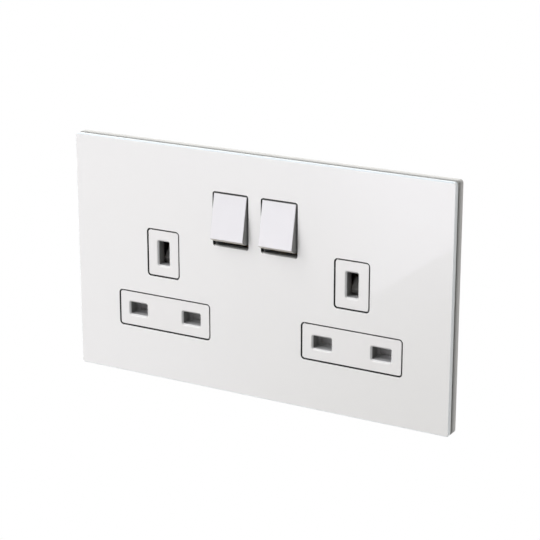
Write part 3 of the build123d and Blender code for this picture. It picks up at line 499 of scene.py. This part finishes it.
# %% The metals: colour, stain, roughness and how the lines are stretched
ALONG_X = (0.04, 1.0, 1.0)
ALONG_Z = (1.0, 1.0, 0.04)
EVEN = (1.0, 1.0, 1.0)
METALS = {
    "spring_steel": ((0.56, 0.56, 0.55), (0.45, 0.44, 0.42), 0.22, EVEN),
    "contact_brass": ((0.80, 0.61, 0.30), (0.68, 0.49, 0.22), 0.2, ALONG_Z),
    "terminal_brass": ((0.78, 0.60, 0.31), (0.66, 0.48, 0.23), 0.18, ALONG_X),
    "contact_silver": ((0.86, 0.85, 0.82), (0.74, 0.72, 0.67), 0.16, EVEN),
    "screw_steel": ((0.66, 0.66, 0.63), (0.55, 0.54, 0.50), 0.2, EVEN),
    "rivet_steel": ((0.64, 0.64, 0.62), (0.54, 0.53, 0.50), 0.22, EVEN),
}
for name, values in METALS.items():
    finishes[name] = metal(name, *values)

# %% [markdown]
# ## The white moulding behind the plate
# The bosses of this moulding fill the openings of the plate, and only their faces and the
# lead-ins of the apertures catch the light; the lead-ins are painted a mid grey as painted
# shade. Their sides stand in a gap of half a millimetre, so they are painted a deep grey as
# painted shade of that narrow gap, while the walls of the apertures are painted a lighter
# shade that darkens deeper in, and their floors, which face up, lighter still. The masks ask
# which way the surface faces, how deep it lies, and whether it is inside the boxes that the
# record gives for the apertures. The wells of the rockers, near the middle, stay white.

# %% Where the apertures are
WALL_MARGIN = 0.45 * MM


def inside_apertures(x, z):
    """1 within the boxes of the right socket's apertures, and of the left one's by symmetry."""
    inside = 0.0
    for opening in frame["record"]["physics"]["openings"]:
        if opening["name"].startswith("right") and opening["name"].endswith("aperture"):
            low, high = opening["box_m"]
            across = abs(abs(x) - (low[0] + high[0]) / 2) < (high[0] - low[0]) / 2 + WALL_MARGIN
            upright = abs(z - (low[2] + high[2]) / 2) < (high[2] - low[2]) / 2 + WALL_MARGIN
            inside = across * upright + inside
            print("mask for", opening["name"])
    return inside


# %% [markdown]
# The depths below are measured from the boss faces. The painted shade of a side starts just
# past the small round at its rim, and fades out behind the plate, where nobody looks in.

# %% Front moulding
FRONT_WHITE = (0.769, 0.756, 0.744)
FRONT_SHADE = 0.97
LEAD_IN_SHADE = (0.60, 0.60, 0.605)
GAP_SHADE = (0.13, 0.13, 0.13)
GAP_DEEP_SHADE = (0.02, 0.02, 0.02)
WALL_SHADE = (0.20, 0.20, 0.195)
WALL_FLOOR_SHADE = (0.42, 0.42, 0.43)
WALL_DEEP_SHADE = (0.12, 0.12, 0.12)
BOSS_SINK = 0.2 * MM
BOSS_ROUND = 0.3 * MM
LEAD_IN = 0.55 * MM
GAP_DEPTH = 4.5 * MM
WALL_DEPTH = 8.0 * MM
SIDE_START = 0.12 * MM
SIDE_SHADE_FADE = (3.2 * MM, 6.0 * MM)
SIDEWAYS = 0.35
SLANTING = 0.9
FRONT_ROUGHNESS = 0.2


def front_moulding():
    finish = Finish("white_moulding")
    place = finish.place()
    x, y, z = finish.axes(place)
    facing = finish.facing()
    depth = y - (glass_front + BOSS_SINK)
    # painted shade: dark greys in the gaps round the bosses and on the aperture walls, darker deeper in and
    # lighter on floors that face up, and a mid grey on the lead-ins
    gap = finish.colours(depth.between(LEAD_IN, GAP_DEPTH), GAP_SHADE, GAP_DEEP_SHADE)
    wall = finish.colours(facing[2] > MOSTLY, WALL_SHADE, WALL_FLOOR_SHADE)
    wall = finish.colours(depth.between(LEAD_IN, WALL_DEPTH), wall, WALL_DEEP_SHADE)
    grey = finish.colours(inside_apertures(x, z), gap, wall)
    below_face = depth > SIDE_START
    lead_in = (abs(facing[1]) < SLANTING) * below_face
    boss_side = (abs(x) > ROCKER_OPENINGS) * (abs(facing[1]) < SIDEWAYS) * below_face
    side = boss_side * (1.0 - depth.between(*SIDE_SHADE_FADE))
    cloud = finish.noise(place, CLOUD_SIZE, detail=3.0)
    white = finish.colours(cloud, FRONT_WHITE, tuple(FRONT_SHADE * part for part in FRONT_WHITE))
    ripple = finish.noise(place, SINK_SIZE, detail=1.0)
    return finish.surface(
        base_color=finish.colours(side, finish.colours(lead_in, white, LEAD_IN_SHADE), grey),
        roughness=FRONT_ROUGHNESS + side * DULLER,
        normal=finish.bump(ripple, SINK_DEPTH, finish.soft_edges(BOSS_ROUND)),
        ior=PLASTIC_IOR,
    )


finishes["white_moulding"] = front_moulding()

# %% [markdown]
# ## The grey frame
# The frame behind the plate is a warm light grey. Along its front rim, where the plate's
# carrier sits in it, it stays in the dark of the groove, so a darker grey is painted there as
# painted shade of the groove, which fades out towards the wall. A soft ramp on the distance
# from the rim gives that, where a second piece would show a hard line.

# %% Frame plastic
FRAME_GREY = (0.66, 0.65, 0.62)
FRAME_RIM_SHADE = (0.34, 0.335, 0.32)
RIM_SHADE_FADE = (0.5 * MM, 1.7 * MM)
FRAME_ROUGHNESS = 0.45
FRAME_GRAIN = 0.005 * MM
frame_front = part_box("mounting_frame")[0].y


def frame_plastic():
    finish = Finish("grey_frame")
    place = finish.place()
    from_front = finish.axes(place)[1] - frame_front
    # painted shade: the front rim is a darker grey where the groove shades it
    grey = finish.colours(from_front.between(*RIM_SHADE_FADE), FRAME_RIM_SHADE, FRAME_GREY)
    cloud = finish.noise(place, CLOUD_SIZE, detail=3.0)
    return finish.surface(
        base_color=finish.colours(cloud * FAINT, grey, BLACK),
        roughness=FRAME_ROUGHNESS + (cloud - 0.5) * CLOUD_SPREAD,
        normal=plastic_skin(finish, place, FRAME_GRAIN),
        ior=PLASTIC_IOR,
    )


finishes["grey_frame"] = frame_plastic()

# %% [markdown]
# ## Putting the finishes on
# The record says which material slot each solid belongs to, so a loop can dress them all. The
# meshes themselves are left as they are.

# %% The finish of each solid
slot_of = {part["node"]: part["material_slot"] for part in frame["record"]["subparts"]}
for node, piece in frame["nodes"].items():
    piece.data.materials.clear()
    piece.data.materials.append(finishes[slot_of[node]])
print("finishes:", len(finishes), "on solids:", len(frame["nodes"]))

# %% [markdown]
# ## Forms made by Geometry Nodes
# Springs, screws and rivets repeat, so each kind is one Geometry Nodes tree whose sizes are
# named inputs. The tree is run once for each piece, and what it makes becomes a plain mesh
# that is put in its place. A form ends in Realize Instances and Set Material, so that the
# mesh holds real faces with a finish.

# %% The words of a form
class Form(Tree):
    """A Geometry Nodes tree with named sizes, in metres."""

    def __init__(self, name, sizes):
        self.group = bpy.data.node_groups.new(name, "GeometryNodeTree")
        super().__init__(self.group)
        interface = self.group.interface
        interface.new_socket("Mesh", in_out="OUTPUT", socket_type="NodeSocketGeometry")
        self.keys = {}
        for size in sizes:
            socket = interface.new_socket(size, in_out="INPUT", socket_type="NodeSocketFloat")
            self.keys[size] = socket.identifier
        self.given = self.tree.nodes.new("NodeGroupInput")

    def size(self, name):
        return Wire(self, self.given.outputs[name])

    def vector(self, x=0.0, y=0.0, z=0.0):
        return self.node("ShaderNodeCombineXYZ", None, {0: x, 1: y, 2: z})

    def moved(self, geometry, shift=(0, 0, 0), turn=(0, 0, 0), scale=(1, 1, 1)):
        values = {"Geometry": geometry, "Translation": shift, "Rotation": turn, "Scale": scale}
        return self.node("GeometryNodeTransform", None, values)

    def joined(self, *parts):
        joining = self.tree.nodes.new("GeometryNodeJoinGeometry")
        for part in parts:
            self.tree.links.new(part.socket, joining.inputs[0])
        return Wire(self, joining.outputs[0])

    def close(self, geometry, finish):
        real = self.node("GeometryNodeRealizeInstances", None, {"Geometry": geometry})
        values = {"Geometry": real, "Material": finish}
        self.end("NodeGroupOutput", Mesh=self.node("GeometryNodeSetMaterial", None, values))

    def piece(self, name, place, sizes):
        """Run the tree with these sizes and return the result as a mesh object at the origin."""
        piece = bpy.data.objects.new(name, bpy.data.meshes.new(name))
        scene.collection.objects.link(piece)
        modifier = piece.modifiers.new(name, "NODES")
        modifier.node_group = self.group
        for size, value in sizes.items():
            modifier[self.keys[size]] = value
        seen = piece.evaluated_get(bpy.context.evaluated_depsgraph_get())
        mesh = bpy.data.meshes.new_from_object(seen)
        piece.modifiers.clear()
        piece.data = mesh
        mesh.transform(place)
        print(name, "faces:", len(mesh.polygons))
        return piece


# %% [markdown]
# Each new piece stands for one solid: it hides it and moves with the body that carries it.
# Its finish is set by its form. One function says both.

# %% Standing in for a solid
def stands_for(piece, node, body):
    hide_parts(node)
    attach(piece, body)
    print(piece.name, "stands for", node, "on", body)


# %% [markdown]
# ## Coil springs
# A real compression spring has its first and last turns closed up, so that it stands flat. It
# could be a curve with its points worked out in a loop, but as a tree its length, wire and
# turns stay plain numbers that each spring sets for itself. The form is a flat circle that is
# walked round many times, and then lifted: by one wire for each turn everywhere, and by the
# rest of the length only between the two end turns.

# %% The spring's form
SPRING_STEPS = 28
WIRE_SIDES = 10

spring = Form("coil_spring", ["Radius", "Wire", "Length", "Turns"])
turns = spring.size("Turns")
wire = spring.size("Wire")
circle = spring.node("GeometryNodeCurveSpiral", None, {
    "Resolution": SPRING_STEPS,
    "Rotations": turns,
    "Start Radius": spring.size("Radius"),
    "End Radius": spring.size("Radius"),
    "Height": 0.0,
})
walked = spring.node("GeometryNodeSplineParameter", out="Factor") * turns
between_ends = {"Value": walked, "From Min": 1.0, "From Max": turns - 1.0}
open_share = spring.node("ShaderNodeMapRange", None, between_ends)
open_rise = open_share * (spring.size("Length") - wire - turns * wire)
lifted = spring.node("GeometryNodeSetPosition", None, {
    "Geometry": circle,
    "Offset": spring.vector(z=wire * 0.5 + walked * wire + open_rise),
})
section = spring.node("GeometryNodeCurvePrimitiveCircle", None, {
    "Resolution": WIRE_SIDES,
    "Radius": wire * 0.5,
})
wound = spring.node("GeometryNodeCurveToMesh", None, {
    "Curve": lifted,
    "Profile Curve": section,
    "Fill Caps": True,
})
smooth = spring.node("GeometryNodeSetShadeSmooth", None, {"Geometry": wound})
spring.close(smooth, finishes["spring_steel"])
print("spring inputs:", list(spring.keys))

# %% [markdown]
# A shutter spring stands on its peg in the housing, and its shutter pushes its top end down
# towards the peg. A plunger spring lies along the leaning stem of its rocker and is pushed
# towards the stem's roof. Both only get shorter when they work. Here each is made at the
# length of its solid, along its own axis.

# %% The four springs in their places
SHUTTER_SPRING = {"Radius": 1.5 * MM, "Wire": 0.4 * MM, "Turns": 8.0}
PLUNGER_SPRING = {"Radius": 1.0 * MM, "Wire": 0.3 * MM, "Turns": 7.0}
STEM_AXIS = Vector((0, math.cos(rocker_tilt), -math.sin(rocker_tilt)))
TO_STEM = STEM_AXIS.to_track_quat("Z", "Y").to_matrix().to_4x4()


for side in ("left", "right"):
    node = "shutter_spring_" + side
    low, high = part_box(node)
    base = Vector(((low.x + high.x) / 2, (low.y + high.y) / 2, low.z))
    length = high.z - low.z
    sizes = {**SHUTTER_SPRING, "Length": length}
    piece = spring.piece("coil_" + node, Matrix.Translation(base), sizes)
    stands_for(piece, node, "socket_unit")
    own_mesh(piece)

    node = "plunger_spring_" + side
    low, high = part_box(node)
    reach = high - low
    length = (reach.y - reach.x * math.sin(rocker_tilt)) / math.cos(rocker_tilt)
    roof = (low + high) / 2 - STEM_AXIS * length / 2
    sizes = {**PLUNGER_SPRING, "Length": length}
    piece = spring.piece("coil_" + node, Matrix.Translation(roof) @ TO_STEM, sizes)
    stands_for(piece, node, "rocker_" + side)
    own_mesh(piece)

# %% [markdown]
# ## Turned forms
# A screw and a rivet are turned on a lathe, so each is a flat grid that is wrapped round an
# axis: one side of the grid becomes the angle, the other runs along the outline from one tip
# to the other. The radius and the height are sums of the two, and a screw thread is no more
# than a radius that also depends on the angle. A Screw modifier turns an outline too, but a
# thread that runs out at the tip is simpler as a sum. Points that meet are merged, which
# closes the form.

# %% Wrapping a grid round an axis
SIDES = 28
MERGE_DISTANCE = 0.001 * MM


def wrapped(form, rows, outline):
    """Wrap a grid of rows points along its outline. The outline gives radius and height."""
    values = {"Size X": 1.0, "Size Y": 1.0, "Vertices X": SIDES + 1, "Vertices Y": rows}
    grid = form.node("GeometryNodeMeshGrid", None, values)
    u, v = [part + 0.5 for part in form.axes(form.node("GeometryNodeInputPosition"))[:2]]
    radius, height = outline(u, v)
    angle = u * math.tau
    point = form.vector(radius * angle.sum("COSINE", angle), radius * angle.sum("SINE", angle), height)
    wrap = form.node("GeometryNodeSetPosition", None, {"Geometry": grid, "Position": point})
    return form.node("GeometryNodeMergeByDistance", None, {"Geometry": wrap, "Distance": MERGE_DISTANCE})


def pillow(radius, height, squareness):
    """The outline of a short rod with rounded rims: nearly square when squareness is small."""
    def outline(u, v):
        angle = (v - 0.5) * math.pi
        rise = angle.sum("SINE", angle)
        bend = abs(rise).sum("POWER", abs(rise), squareness) * rise.sum("SIGN", rise)
        across = angle.sum("COSINE", angle).most(0.0)
        return radius * across.sum("POWER", across, squareness), height * (bend * 0.5 + 0.5)
    return outline


print("one full turn in steps of", round(360 / SIDES, 1), "degrees")

# %% [markdown]
# ## Terminal screws
# The four terminals are closed by slotted screws that are driven from the back. The head is
# a low rod with rounded rims, cut across by a slot, and the shank carries a thread that runs
# out at a blunt tip. The head and the shank are wrapped apart, because the slot is cut with a
# Mesh Boolean, and that is safest on a small plain shape. The block that cuts it is longer than
# the head is wide, and half of it stands above the head, so only its lower half cuts.

# %% The screw's form
THREAD_PITCH = 0.6 * MM
THREAD_DEPTH = 0.22 * MM
TIP_RADIUS = 1.1 * MM
SHANK_INTO_HEAD = 0.1 * MM
SHANK_ROWS = 54
HEAD_ROWS = 26
HEAD_SQUARENESS = 0.2

screw = Form("slotted_screw", [
    "Head Radius", "Head Height", "Shank Radius", "Shank Length", "Slot Width", "Slot Depth",
])
head_radius = screw.size("Head Radius")
head_height = screw.size("Head Height")
shank_length = screw.size("Shank Length")


def threaded(u, v):
    height = v * shank_length
    turn = (height / THREAD_PITCH - u) * math.tau
    groove = (turn.sum("COSINE", turn) * 0.5 + 0.5) * THREAD_DEPTH
    radius = (screw.size("Shank Radius") - groove).least(height + TIP_RADIUS)
    half_row = 0.5 / SHANK_ROWS
    ends = (v > half_row) * (v < 1.0 - half_row)
    return radius * ends, height


head = wrapped(screw, HEAD_ROWS, pillow(head_radius, head_height, HEAD_SQUARENESS))
block_size = screw.vector(head_radius * 3.0, screw.size("Slot Width"), screw.size("Slot Depth") * 2.0)
block = screw.node("GeometryNodeMeshCube", None, {"Size": block_size})
block = screw.moved(block, screw.vector(z=head_height))
cutting = {"operation": "DIFFERENCE", "solver": "EXACT"}
slotted = screw.node("GeometryNodeMeshBoolean", cutting, {"Mesh 1": head, "Mesh 2": block})
shank = wrapped(screw, SHANK_ROWS, threaded)
shank = screw.moved(shank, screw.vector(z=shank_length * -1.0 + SHANK_INTO_HEAD))
screw.close(screw.joined(slotted, shank), finishes["screw_steel"])
print("screw inputs:", list(screw.keys))

# %% [markdown]
# The form stands upright, with the underside of the head on the origin. Each screw is turned
# so that its head looks to the back, and the length of its shank comes from the solid's box.

# %% The four screws in their places
SCREW_SIZES = {
    "Head Radius": 2.9 * MM,
    "Head Height": 1.6 * MM,
    "Shank Radius": 1.7 * MM,
    "Slot Width": 0.8 * MM,
    "Slot Depth": 0.8 * MM,
}
TO_BACK = Matrix.Rotation(-math.pi / 2, 4, "X")

for terminal in ("live", "neutral", "earth_left", "earth_right"):
    node = terminal + "_screw"
    low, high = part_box(node)
    under_head = Vector(((low.x + high.x) / 2, high.y - SCREW_SIZES["Head Height"], (low.z + high.z) / 2))
    sizes = {**SCREW_SIZES, "Shank Length": under_head.y - low.y}
    piece = screw.piece("slotted_" + node, Matrix.Translation(under_head) @ TO_BACK, sizes)
    stands_for(piece, node, "socket_unit")

# %% [markdown]
# ## Rivets
# Four rivets hold the front moulding, the frame and the housing together. The factory made
# head is a low dome, and the far end is a tube that is rolled over into a ring with a dimple.
# All four are one solid, so the tree makes one rivet from three turned parts and sets it at
# the four corners. The dome is a pillow turned upside down by a negative scale, which turns
# its faces inside out as well, so they are flipped back.

# %% The rivet's form
DOME_ROWS = 18
BODY_ROWS = 8
RING_ROWS = 22
DIMPLE_REACH = 0.55
DIMPLE_DEPTH = 0.55

rivet = Form("tubular_rivet", [
    "Head Radius", "Head Height", "Shank Radius", "Length", "Half Spacing", "Low Row", "High Row",
])
rivet_radius = rivet.size("Head Radius")
rivet_head = rivet.size("Head Height")
rivet_length = rivet.size("Length")


def rolled(u, v):
    radius, height = pillow(rivet_radius, rivet_head, squareness=0.5)(u, v)
    inner = radius / (rivet_radius * DIMPLE_REACH)
    sunk = (1.0 - inner * inner).most(0.0) * (v > 0.5)
    return radius, height - sunk * rivet_head * DIMPLE_DEPTH


dome = wrapped(rivet, DOME_ROWS, pillow(rivet_radius, rivet_head, squareness=0.55))
dome = rivet.node("GeometryNodeFlipFaces", None, {"Mesh": rivet.moved(dome, scale=(1, 1, -1))})
dome = rivet.moved(dome, rivet.vector(z=rivet_head))
body = pillow(rivet.size("Shank Radius"), rivet_length - rivet_head, squareness=0.1)
body = rivet.moved(wrapped(rivet, BODY_ROWS, body), rivet.vector(z=rivet_head * 0.5))
ring = rivet.moved(wrapped(rivet, RING_ROWS, rolled), rivet.vector(z=rivet_length - rivet_head))
whole = rivet.joined(dome, body, ring)
placed = [
    rivet.moved(whole, rivet.vector(rivet.size("Half Spacing") * side, rivet.size(row) * -1.0))
    for side in (-1.0, 1.0) for row in ("Low Row", "High Row")
]
rivet.close(rivet.joined(*placed), finishes["rivet_steel"])
print("rivets in the tree:", len(placed))

# %% [markdown]
# The box of the solid gives the length and the spacing: its sides lie one head's radius
# outside the rivets' axes.

# %% The rivets in their places
RIVET_HEAD = 1.7 * MM
low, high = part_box("assembly_rivets")
sizes = {
    "Head Radius": RIVET_HEAD,
    "Head Height": 0.7 * MM,
    "Shank Radius": 1.0 * MM,
    "Length": high.y - low.y,
    "Half Spacing": high.x - RIVET_HEAD,
    "Low Row": low.z + RIVET_HEAD,
    "High Row": high.z - RIVET_HEAD,
}
piece = rivet.piece("tubular_rivets", Matrix.Translation((0, low.y, 0)) @ TO_BACK, sizes)
stands_for(piece, "assembly_rivets", "socket_unit")

# %% [markdown]
# ## Terminal marks
# Beside each cable entry the mould has a raised mark, so that the wiring can't be mixed up:
# L and N as letters, and the earth sign as one upright over three shorter and shorter bars.
# The letters are text that is turned into a mesh, and the sign is made of small blocks, since
# no font is sure to hold it. They are raised by a fifth of a millimetre, and sunk a little
# into the wall, so that no gap can show.

# %% The shapes of the marks
LETTER_SIZE = 4.32 * MM
MARK_RAISED = 0.2 * MM
MARK_SUNK = 0.06 * MM
MARK_THICKNESS = MARK_RAISED + MARK_SUNK
BAR = 0.32
EARTH_BLOCKS = ((0.9, BAR, 1.5), (0.0, 2.8, BAR), (-0.75, 1.8, BAR), (-1.5, 0.8, BAR))


def letter_mesh(letter):
    curve = bpy.data.curves.new("letter", "FONT")
    curve.body = letter
    curve.size = LETTER_SIZE
    curve.extrude = MARK_THICKNESS / 2
    curve.align_x = "CENTER"
    curve.align_y = "CENTER"
    holder = bpy.data.objects.new("letter", curve)
    scene.collection.objects.link(holder)
    mesh = bpy.data.meshes.new_from_object(holder.evaluated_get(bpy.context.evaluated_depsgraph_get()))
    bpy.data.objects.remove(holder)
    return mesh


def earth_mesh():
    """The earth sign. Each block has its middle's level, its width and its height, in mm."""
    form = bmesh.new()
    for level, width, height in EARTH_BLOCKS:
        size = Matrix.Diagonal((width * MM, height * MM, MARK_THICKNESS, 1))
        bmesh.ops.create_cube(form, matrix=Matrix.Translation((0, level * MM, 0)) @ size)
    mesh = bpy.data.meshes.new("earth")
    form.to_mesh(mesh)
    form.free()
    return mesh


print("a mark is", round(MARK_THICKNESS / MM, 2), "mm thick")

# %% [markdown]
# The wall under the housing slopes a little, as every moulded wall does, so its level isn't
# one number. A ray sent up from below finds the wall at each mark, and the mark is set there.

# %% Raised marks under the housing
LETTERS = {"live": "L", "neutral": "N"}
MARK_PLACES = {
    "live": (9.0 * MM, 15.6 * MM),
    "neutral": (-9.0 * MM, 15.6 * MM),
    "earth_left": (-17.2 * MM, 11.2 * MM),
    "earth_right": (17.2 * MM, 11.2 * MM),
}
FROM_BELOW = Matrix.Rotation(math.pi, 4, "X")
UP = Vector((0, 0, 1))
housing = frame["nodes"]["rear_housing"]
under_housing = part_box("rear_housing")[0].z - MM

for terminal, (x, y) in MARK_PLACES.items():
    wall = housing.ray_cast(Vector((x, y, under_housing)), UP)[1].z
    mesh = letter_mesh(LETTERS[terminal]) if terminal in LETTERS else earth_mesh()
    mesh.transform(Matrix.Translation((x, y, wall - (MARK_RAISED - MARK_SUNK) / 2)) @ FROM_BELOW)
    mesh.materials.clear()
    mesh.materials.append(finishes["rear_moulding"])
    piece = bpy.data.objects.new("mark_" + terminal, mesh)
    scene.collection.objects.link(piece)
    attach(piece, "socket_unit")
    print(piece.name, "on the wall at", round(wall / MM, 2), "mm")

# %% [markdown]
# ## The studio
# The socket hangs clear of a pale floor. A large soft lamp stands high on the left, so that
# top and front are bright and the right side is in shade, and the white world fills the rest.
# The floor could be left out, but then the light from below would be as strong as that from
# the sides. Near the socket it is a matt sheet, and far off it turns into plain white for the
# camera.

# %% The floor
FLOOR_LEVEL = -0.60
FLOOR_SIZE = 12.0
FLOOR_PAINT = (0.9, 0.9, 0.9)
WHITE = (1.0, 1.0, 1.0)
SHADOW_INNER = 0.75
SHADOW_OUTER = 0.95


def seen_directly(tree):
    """1 for what the camera or a polished or clear surface sees, and 0 for soft light."""
    camera_ray = tree.node("ShaderNodeLightPath", out="Is Camera Ray")
    glossy_ray = tree.node("ShaderNodeLightPath", out="Is Glossy Ray")
    clear_ray = tree.node("ShaderNodeLightPath", out="Is Transmission Ray")
    return camera_ray.most(glossy_ray).most(clear_ray)


def floor_white():
    finish = Finish("floor_white")
    x, y = finish.axes(finish.place())[:2]
    area = x * x + y * y
    far_off = area.between(SHADOW_INNER ** 2, SHADOW_OUTER ** 2)
    white = finish.node("ShaderNodeEmission", None, {"Color": rgba(WHITE), "Strength": 1.0})
    matt = finish.node("ShaderNodeBsdfDiffuse", None, {"Color": rgba(FLOOR_PAINT)})
    share = far_off * seen_directly(finish)
    mixed = finish.node("ShaderNodeMixShader", None, {0: share, 1: matt, 2: white})
    finish.end("ShaderNodeOutputMaterial", Surface=mixed)
    return finish.material


floor_mesh = bpy.data.meshes.new("floor")
half = FLOOR_SIZE / 2
corners = [(x, y, FLOOR_LEVEL) for x, y in ((-half, -half), (half, -half), (half, half), (-half, half))]
floor_mesh.from_pydata(corners, [], [(0, 1, 2, 3)])
floor_mesh.materials.append(floor_white())
floor = bpy.data.objects.new("floor", floor_mesh)
scene.collection.objects.link(floor)
floor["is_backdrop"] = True
print("floor at", FLOOR_LEVEL, "m")

# %% [markdown]
# The world is plain white to the camera and to a polished face, but as a light it is only a
# third as strong. At full strength it would wash out the shadows.

# %% The world
AMBIENT = 0.335

world = bpy.data.worlds.new("studio")
scene.world = world
world.use_nodes = True
sky = Tree(world.node_tree)
strength = AMBIENT + seen_directly(sky) * (1.0 - AMBIENT)
backdrop = {"Color": rgba(WHITE), "Strength": strength}
sky.end("ShaderNodeOutputWorld", Surface=sky.node("ShaderNodeBackground", None, backdrop))
print("soft light of the world:", AMBIENT)

# %% [markdown]
# ## The lamps
# A lamp's strength is given as the brightness that its panel has, which is what a polished
# face shows, and the power that Blender wants follows from the panel's area. The one at the
# back lights the rear for other views and doesn't reach the front or the right side. Small
# lamps or a sun would light as well, but only a wide panel makes shadows this soft.

# %% Lamps
KEY_PLACE = Vector((-1.0, -1.05, 1.35))
KEY_SIZE = 1.75
KEY_BRIGHTNESS = 4.3
BACK_PLACE = Vector((-0.45, 1.4, 0.2))
BACK_SIZE = 1.3
BACK_BRIGHTNESS = 1.3


def panel(name, place, width, height, brightness):
    lamp = bpy.data.lights.new(name, "AREA")
    lamp.shape = "RECTANGLE"
    lamp.size = width
    lamp.size_y = height
    lamp.energy = brightness * math.pi * width * height
    holder = bpy.data.objects.new(name, lamp)
    holder.matrix_world = place
    holder.visible_camera = False
    scene.collection.objects.link(holder)
    return holder


def towards_socket(place):
    """A place, turned so that its -Z looks at the socket."""
    return Matrix.Translation(place) @ (-place).to_track_quat("-Z", "Y").to_matrix().to_4x4()


panel("key", towards_socket(KEY_PLACE), KEY_SIZE, KEY_SIZE, KEY_BRIGHTNESS)
panel("back", towards_socket(BACK_PLACE), BACK_SIZE, BACK_SIZE, BACK_BRIGHTNESS)
print("soft lamps:", len(bpy.data.lights))

# %% [markdown]
# ## The card that the glass mirrors
# A polished plate shows its surroundings as much as its paint. A broad card on the left gives
# the glass its soft shading, brighter towards the top right, and one straight edge on the card
# draws the fine slanting line, which fades out towards the left. The shading could be painted
# on the plate, but then it would stay where it is when the plate is seen from elsewhere. The
# card's light falls on polished faces only. Its brightness is a sum of soft ramps over its own
# width and height, in metres: one value at each corner, the step of the line, and a dark rim.

# %% The card
TO_FRONT = Matrix.Rotation(math.pi / 2, 4, "X")
CARD_DISTANCE = 0.80
CARD_ACROSS = (-1.30, 0.30)
CARD_UP = (-0.80, 0.30)
CARD_RIM = 0.25
CARD_BRIGHTNESS = 1.0
CARD_COLOUR = (0.97, 0.95, 1.08)
GLOW_ACROSS = (-0.68, -0.26)
GLOW_UP = (-0.40, -0.10)
LOW_LEFT, LOW_RIGHT = 1.68, 0.0
HIGH_LEFT, HIGH_RIGHT = 2.4, 3.3
LINE_X, LINE_Z = -0.280, -0.2297
LINE_SLOPE = 0.713
LINE_STEP = 1.15
LINE_FADE = (-0.44, -0.30)
LINE_SOFTNESS = 0.0008


def card_glow(light):
    light.use_nodes = True
    glow = Tree(light.node_tree)
    x, _, z = glow.axes(glow.node("ShaderNodeNewGeometry", out="Position"))
    across = x.between(*GLOW_ACROSS)
    low = LOW_LEFT + across * (LOW_RIGHT - LOW_LEFT)
    high = HIGH_LEFT + across * (HIGH_RIGHT - HIGH_LEFT)
    soft = low + z.between(*GLOW_UP) * (high - low)
    above = z - LINE_Z - (x - LINE_X) * LINE_SLOPE
    line = above.between(-LINE_SOFTNESS, LINE_SOFTNESS) * x.between(*LINE_FADE) * LINE_STEP
    rim = 1.0
    for place, (first, last) in ((x, CARD_ACROSS), (z, CARD_UP)):
        rim = place.between(first, first + CARD_RIM) * (1.0 - place.between(last - CARD_RIM, last)) * rim
    emission = glow.node("ShaderNodeEmission", None, {"Strength": (soft + line) * rim})
    glow.end("ShaderNodeOutputLight", Surface=emission)


card_width = CARD_ACROSS[1] - CARD_ACROSS[0]
card_height = CARD_UP[1] - CARD_UP[0]
card_middle = Vector((sum(CARD_ACROSS) / 2, -CARD_DISTANCE, sum(CARD_UP) / 2))
card_place = Matrix.Translation(card_middle) @ TO_FRONT
card = panel("card", card_place, card_width, card_height, CARD_BRIGHTNESS)
card.visible_diffuse = False
card.data.color = CARD_COLOUR
card_glow(card.data)
print("card, m:", round(card_width, 2), "by", round(card_height, 2))

# %% [markdown]
# ## The size of what shows
# The box of the solids and the box of what shows are put side by side, and the size of what
# shows is printed. The looks must not make the socket any bigger.

# %% Sizes
seen_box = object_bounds()
sizes = {
    "cad": [list(corner) for corner in cad_box],
    "visual": [list(corner) for corner in seen_box],
}
print("visual size, mm:", [round(1000 * side, 2) for side in seen_box[1] - seen_box[0]])
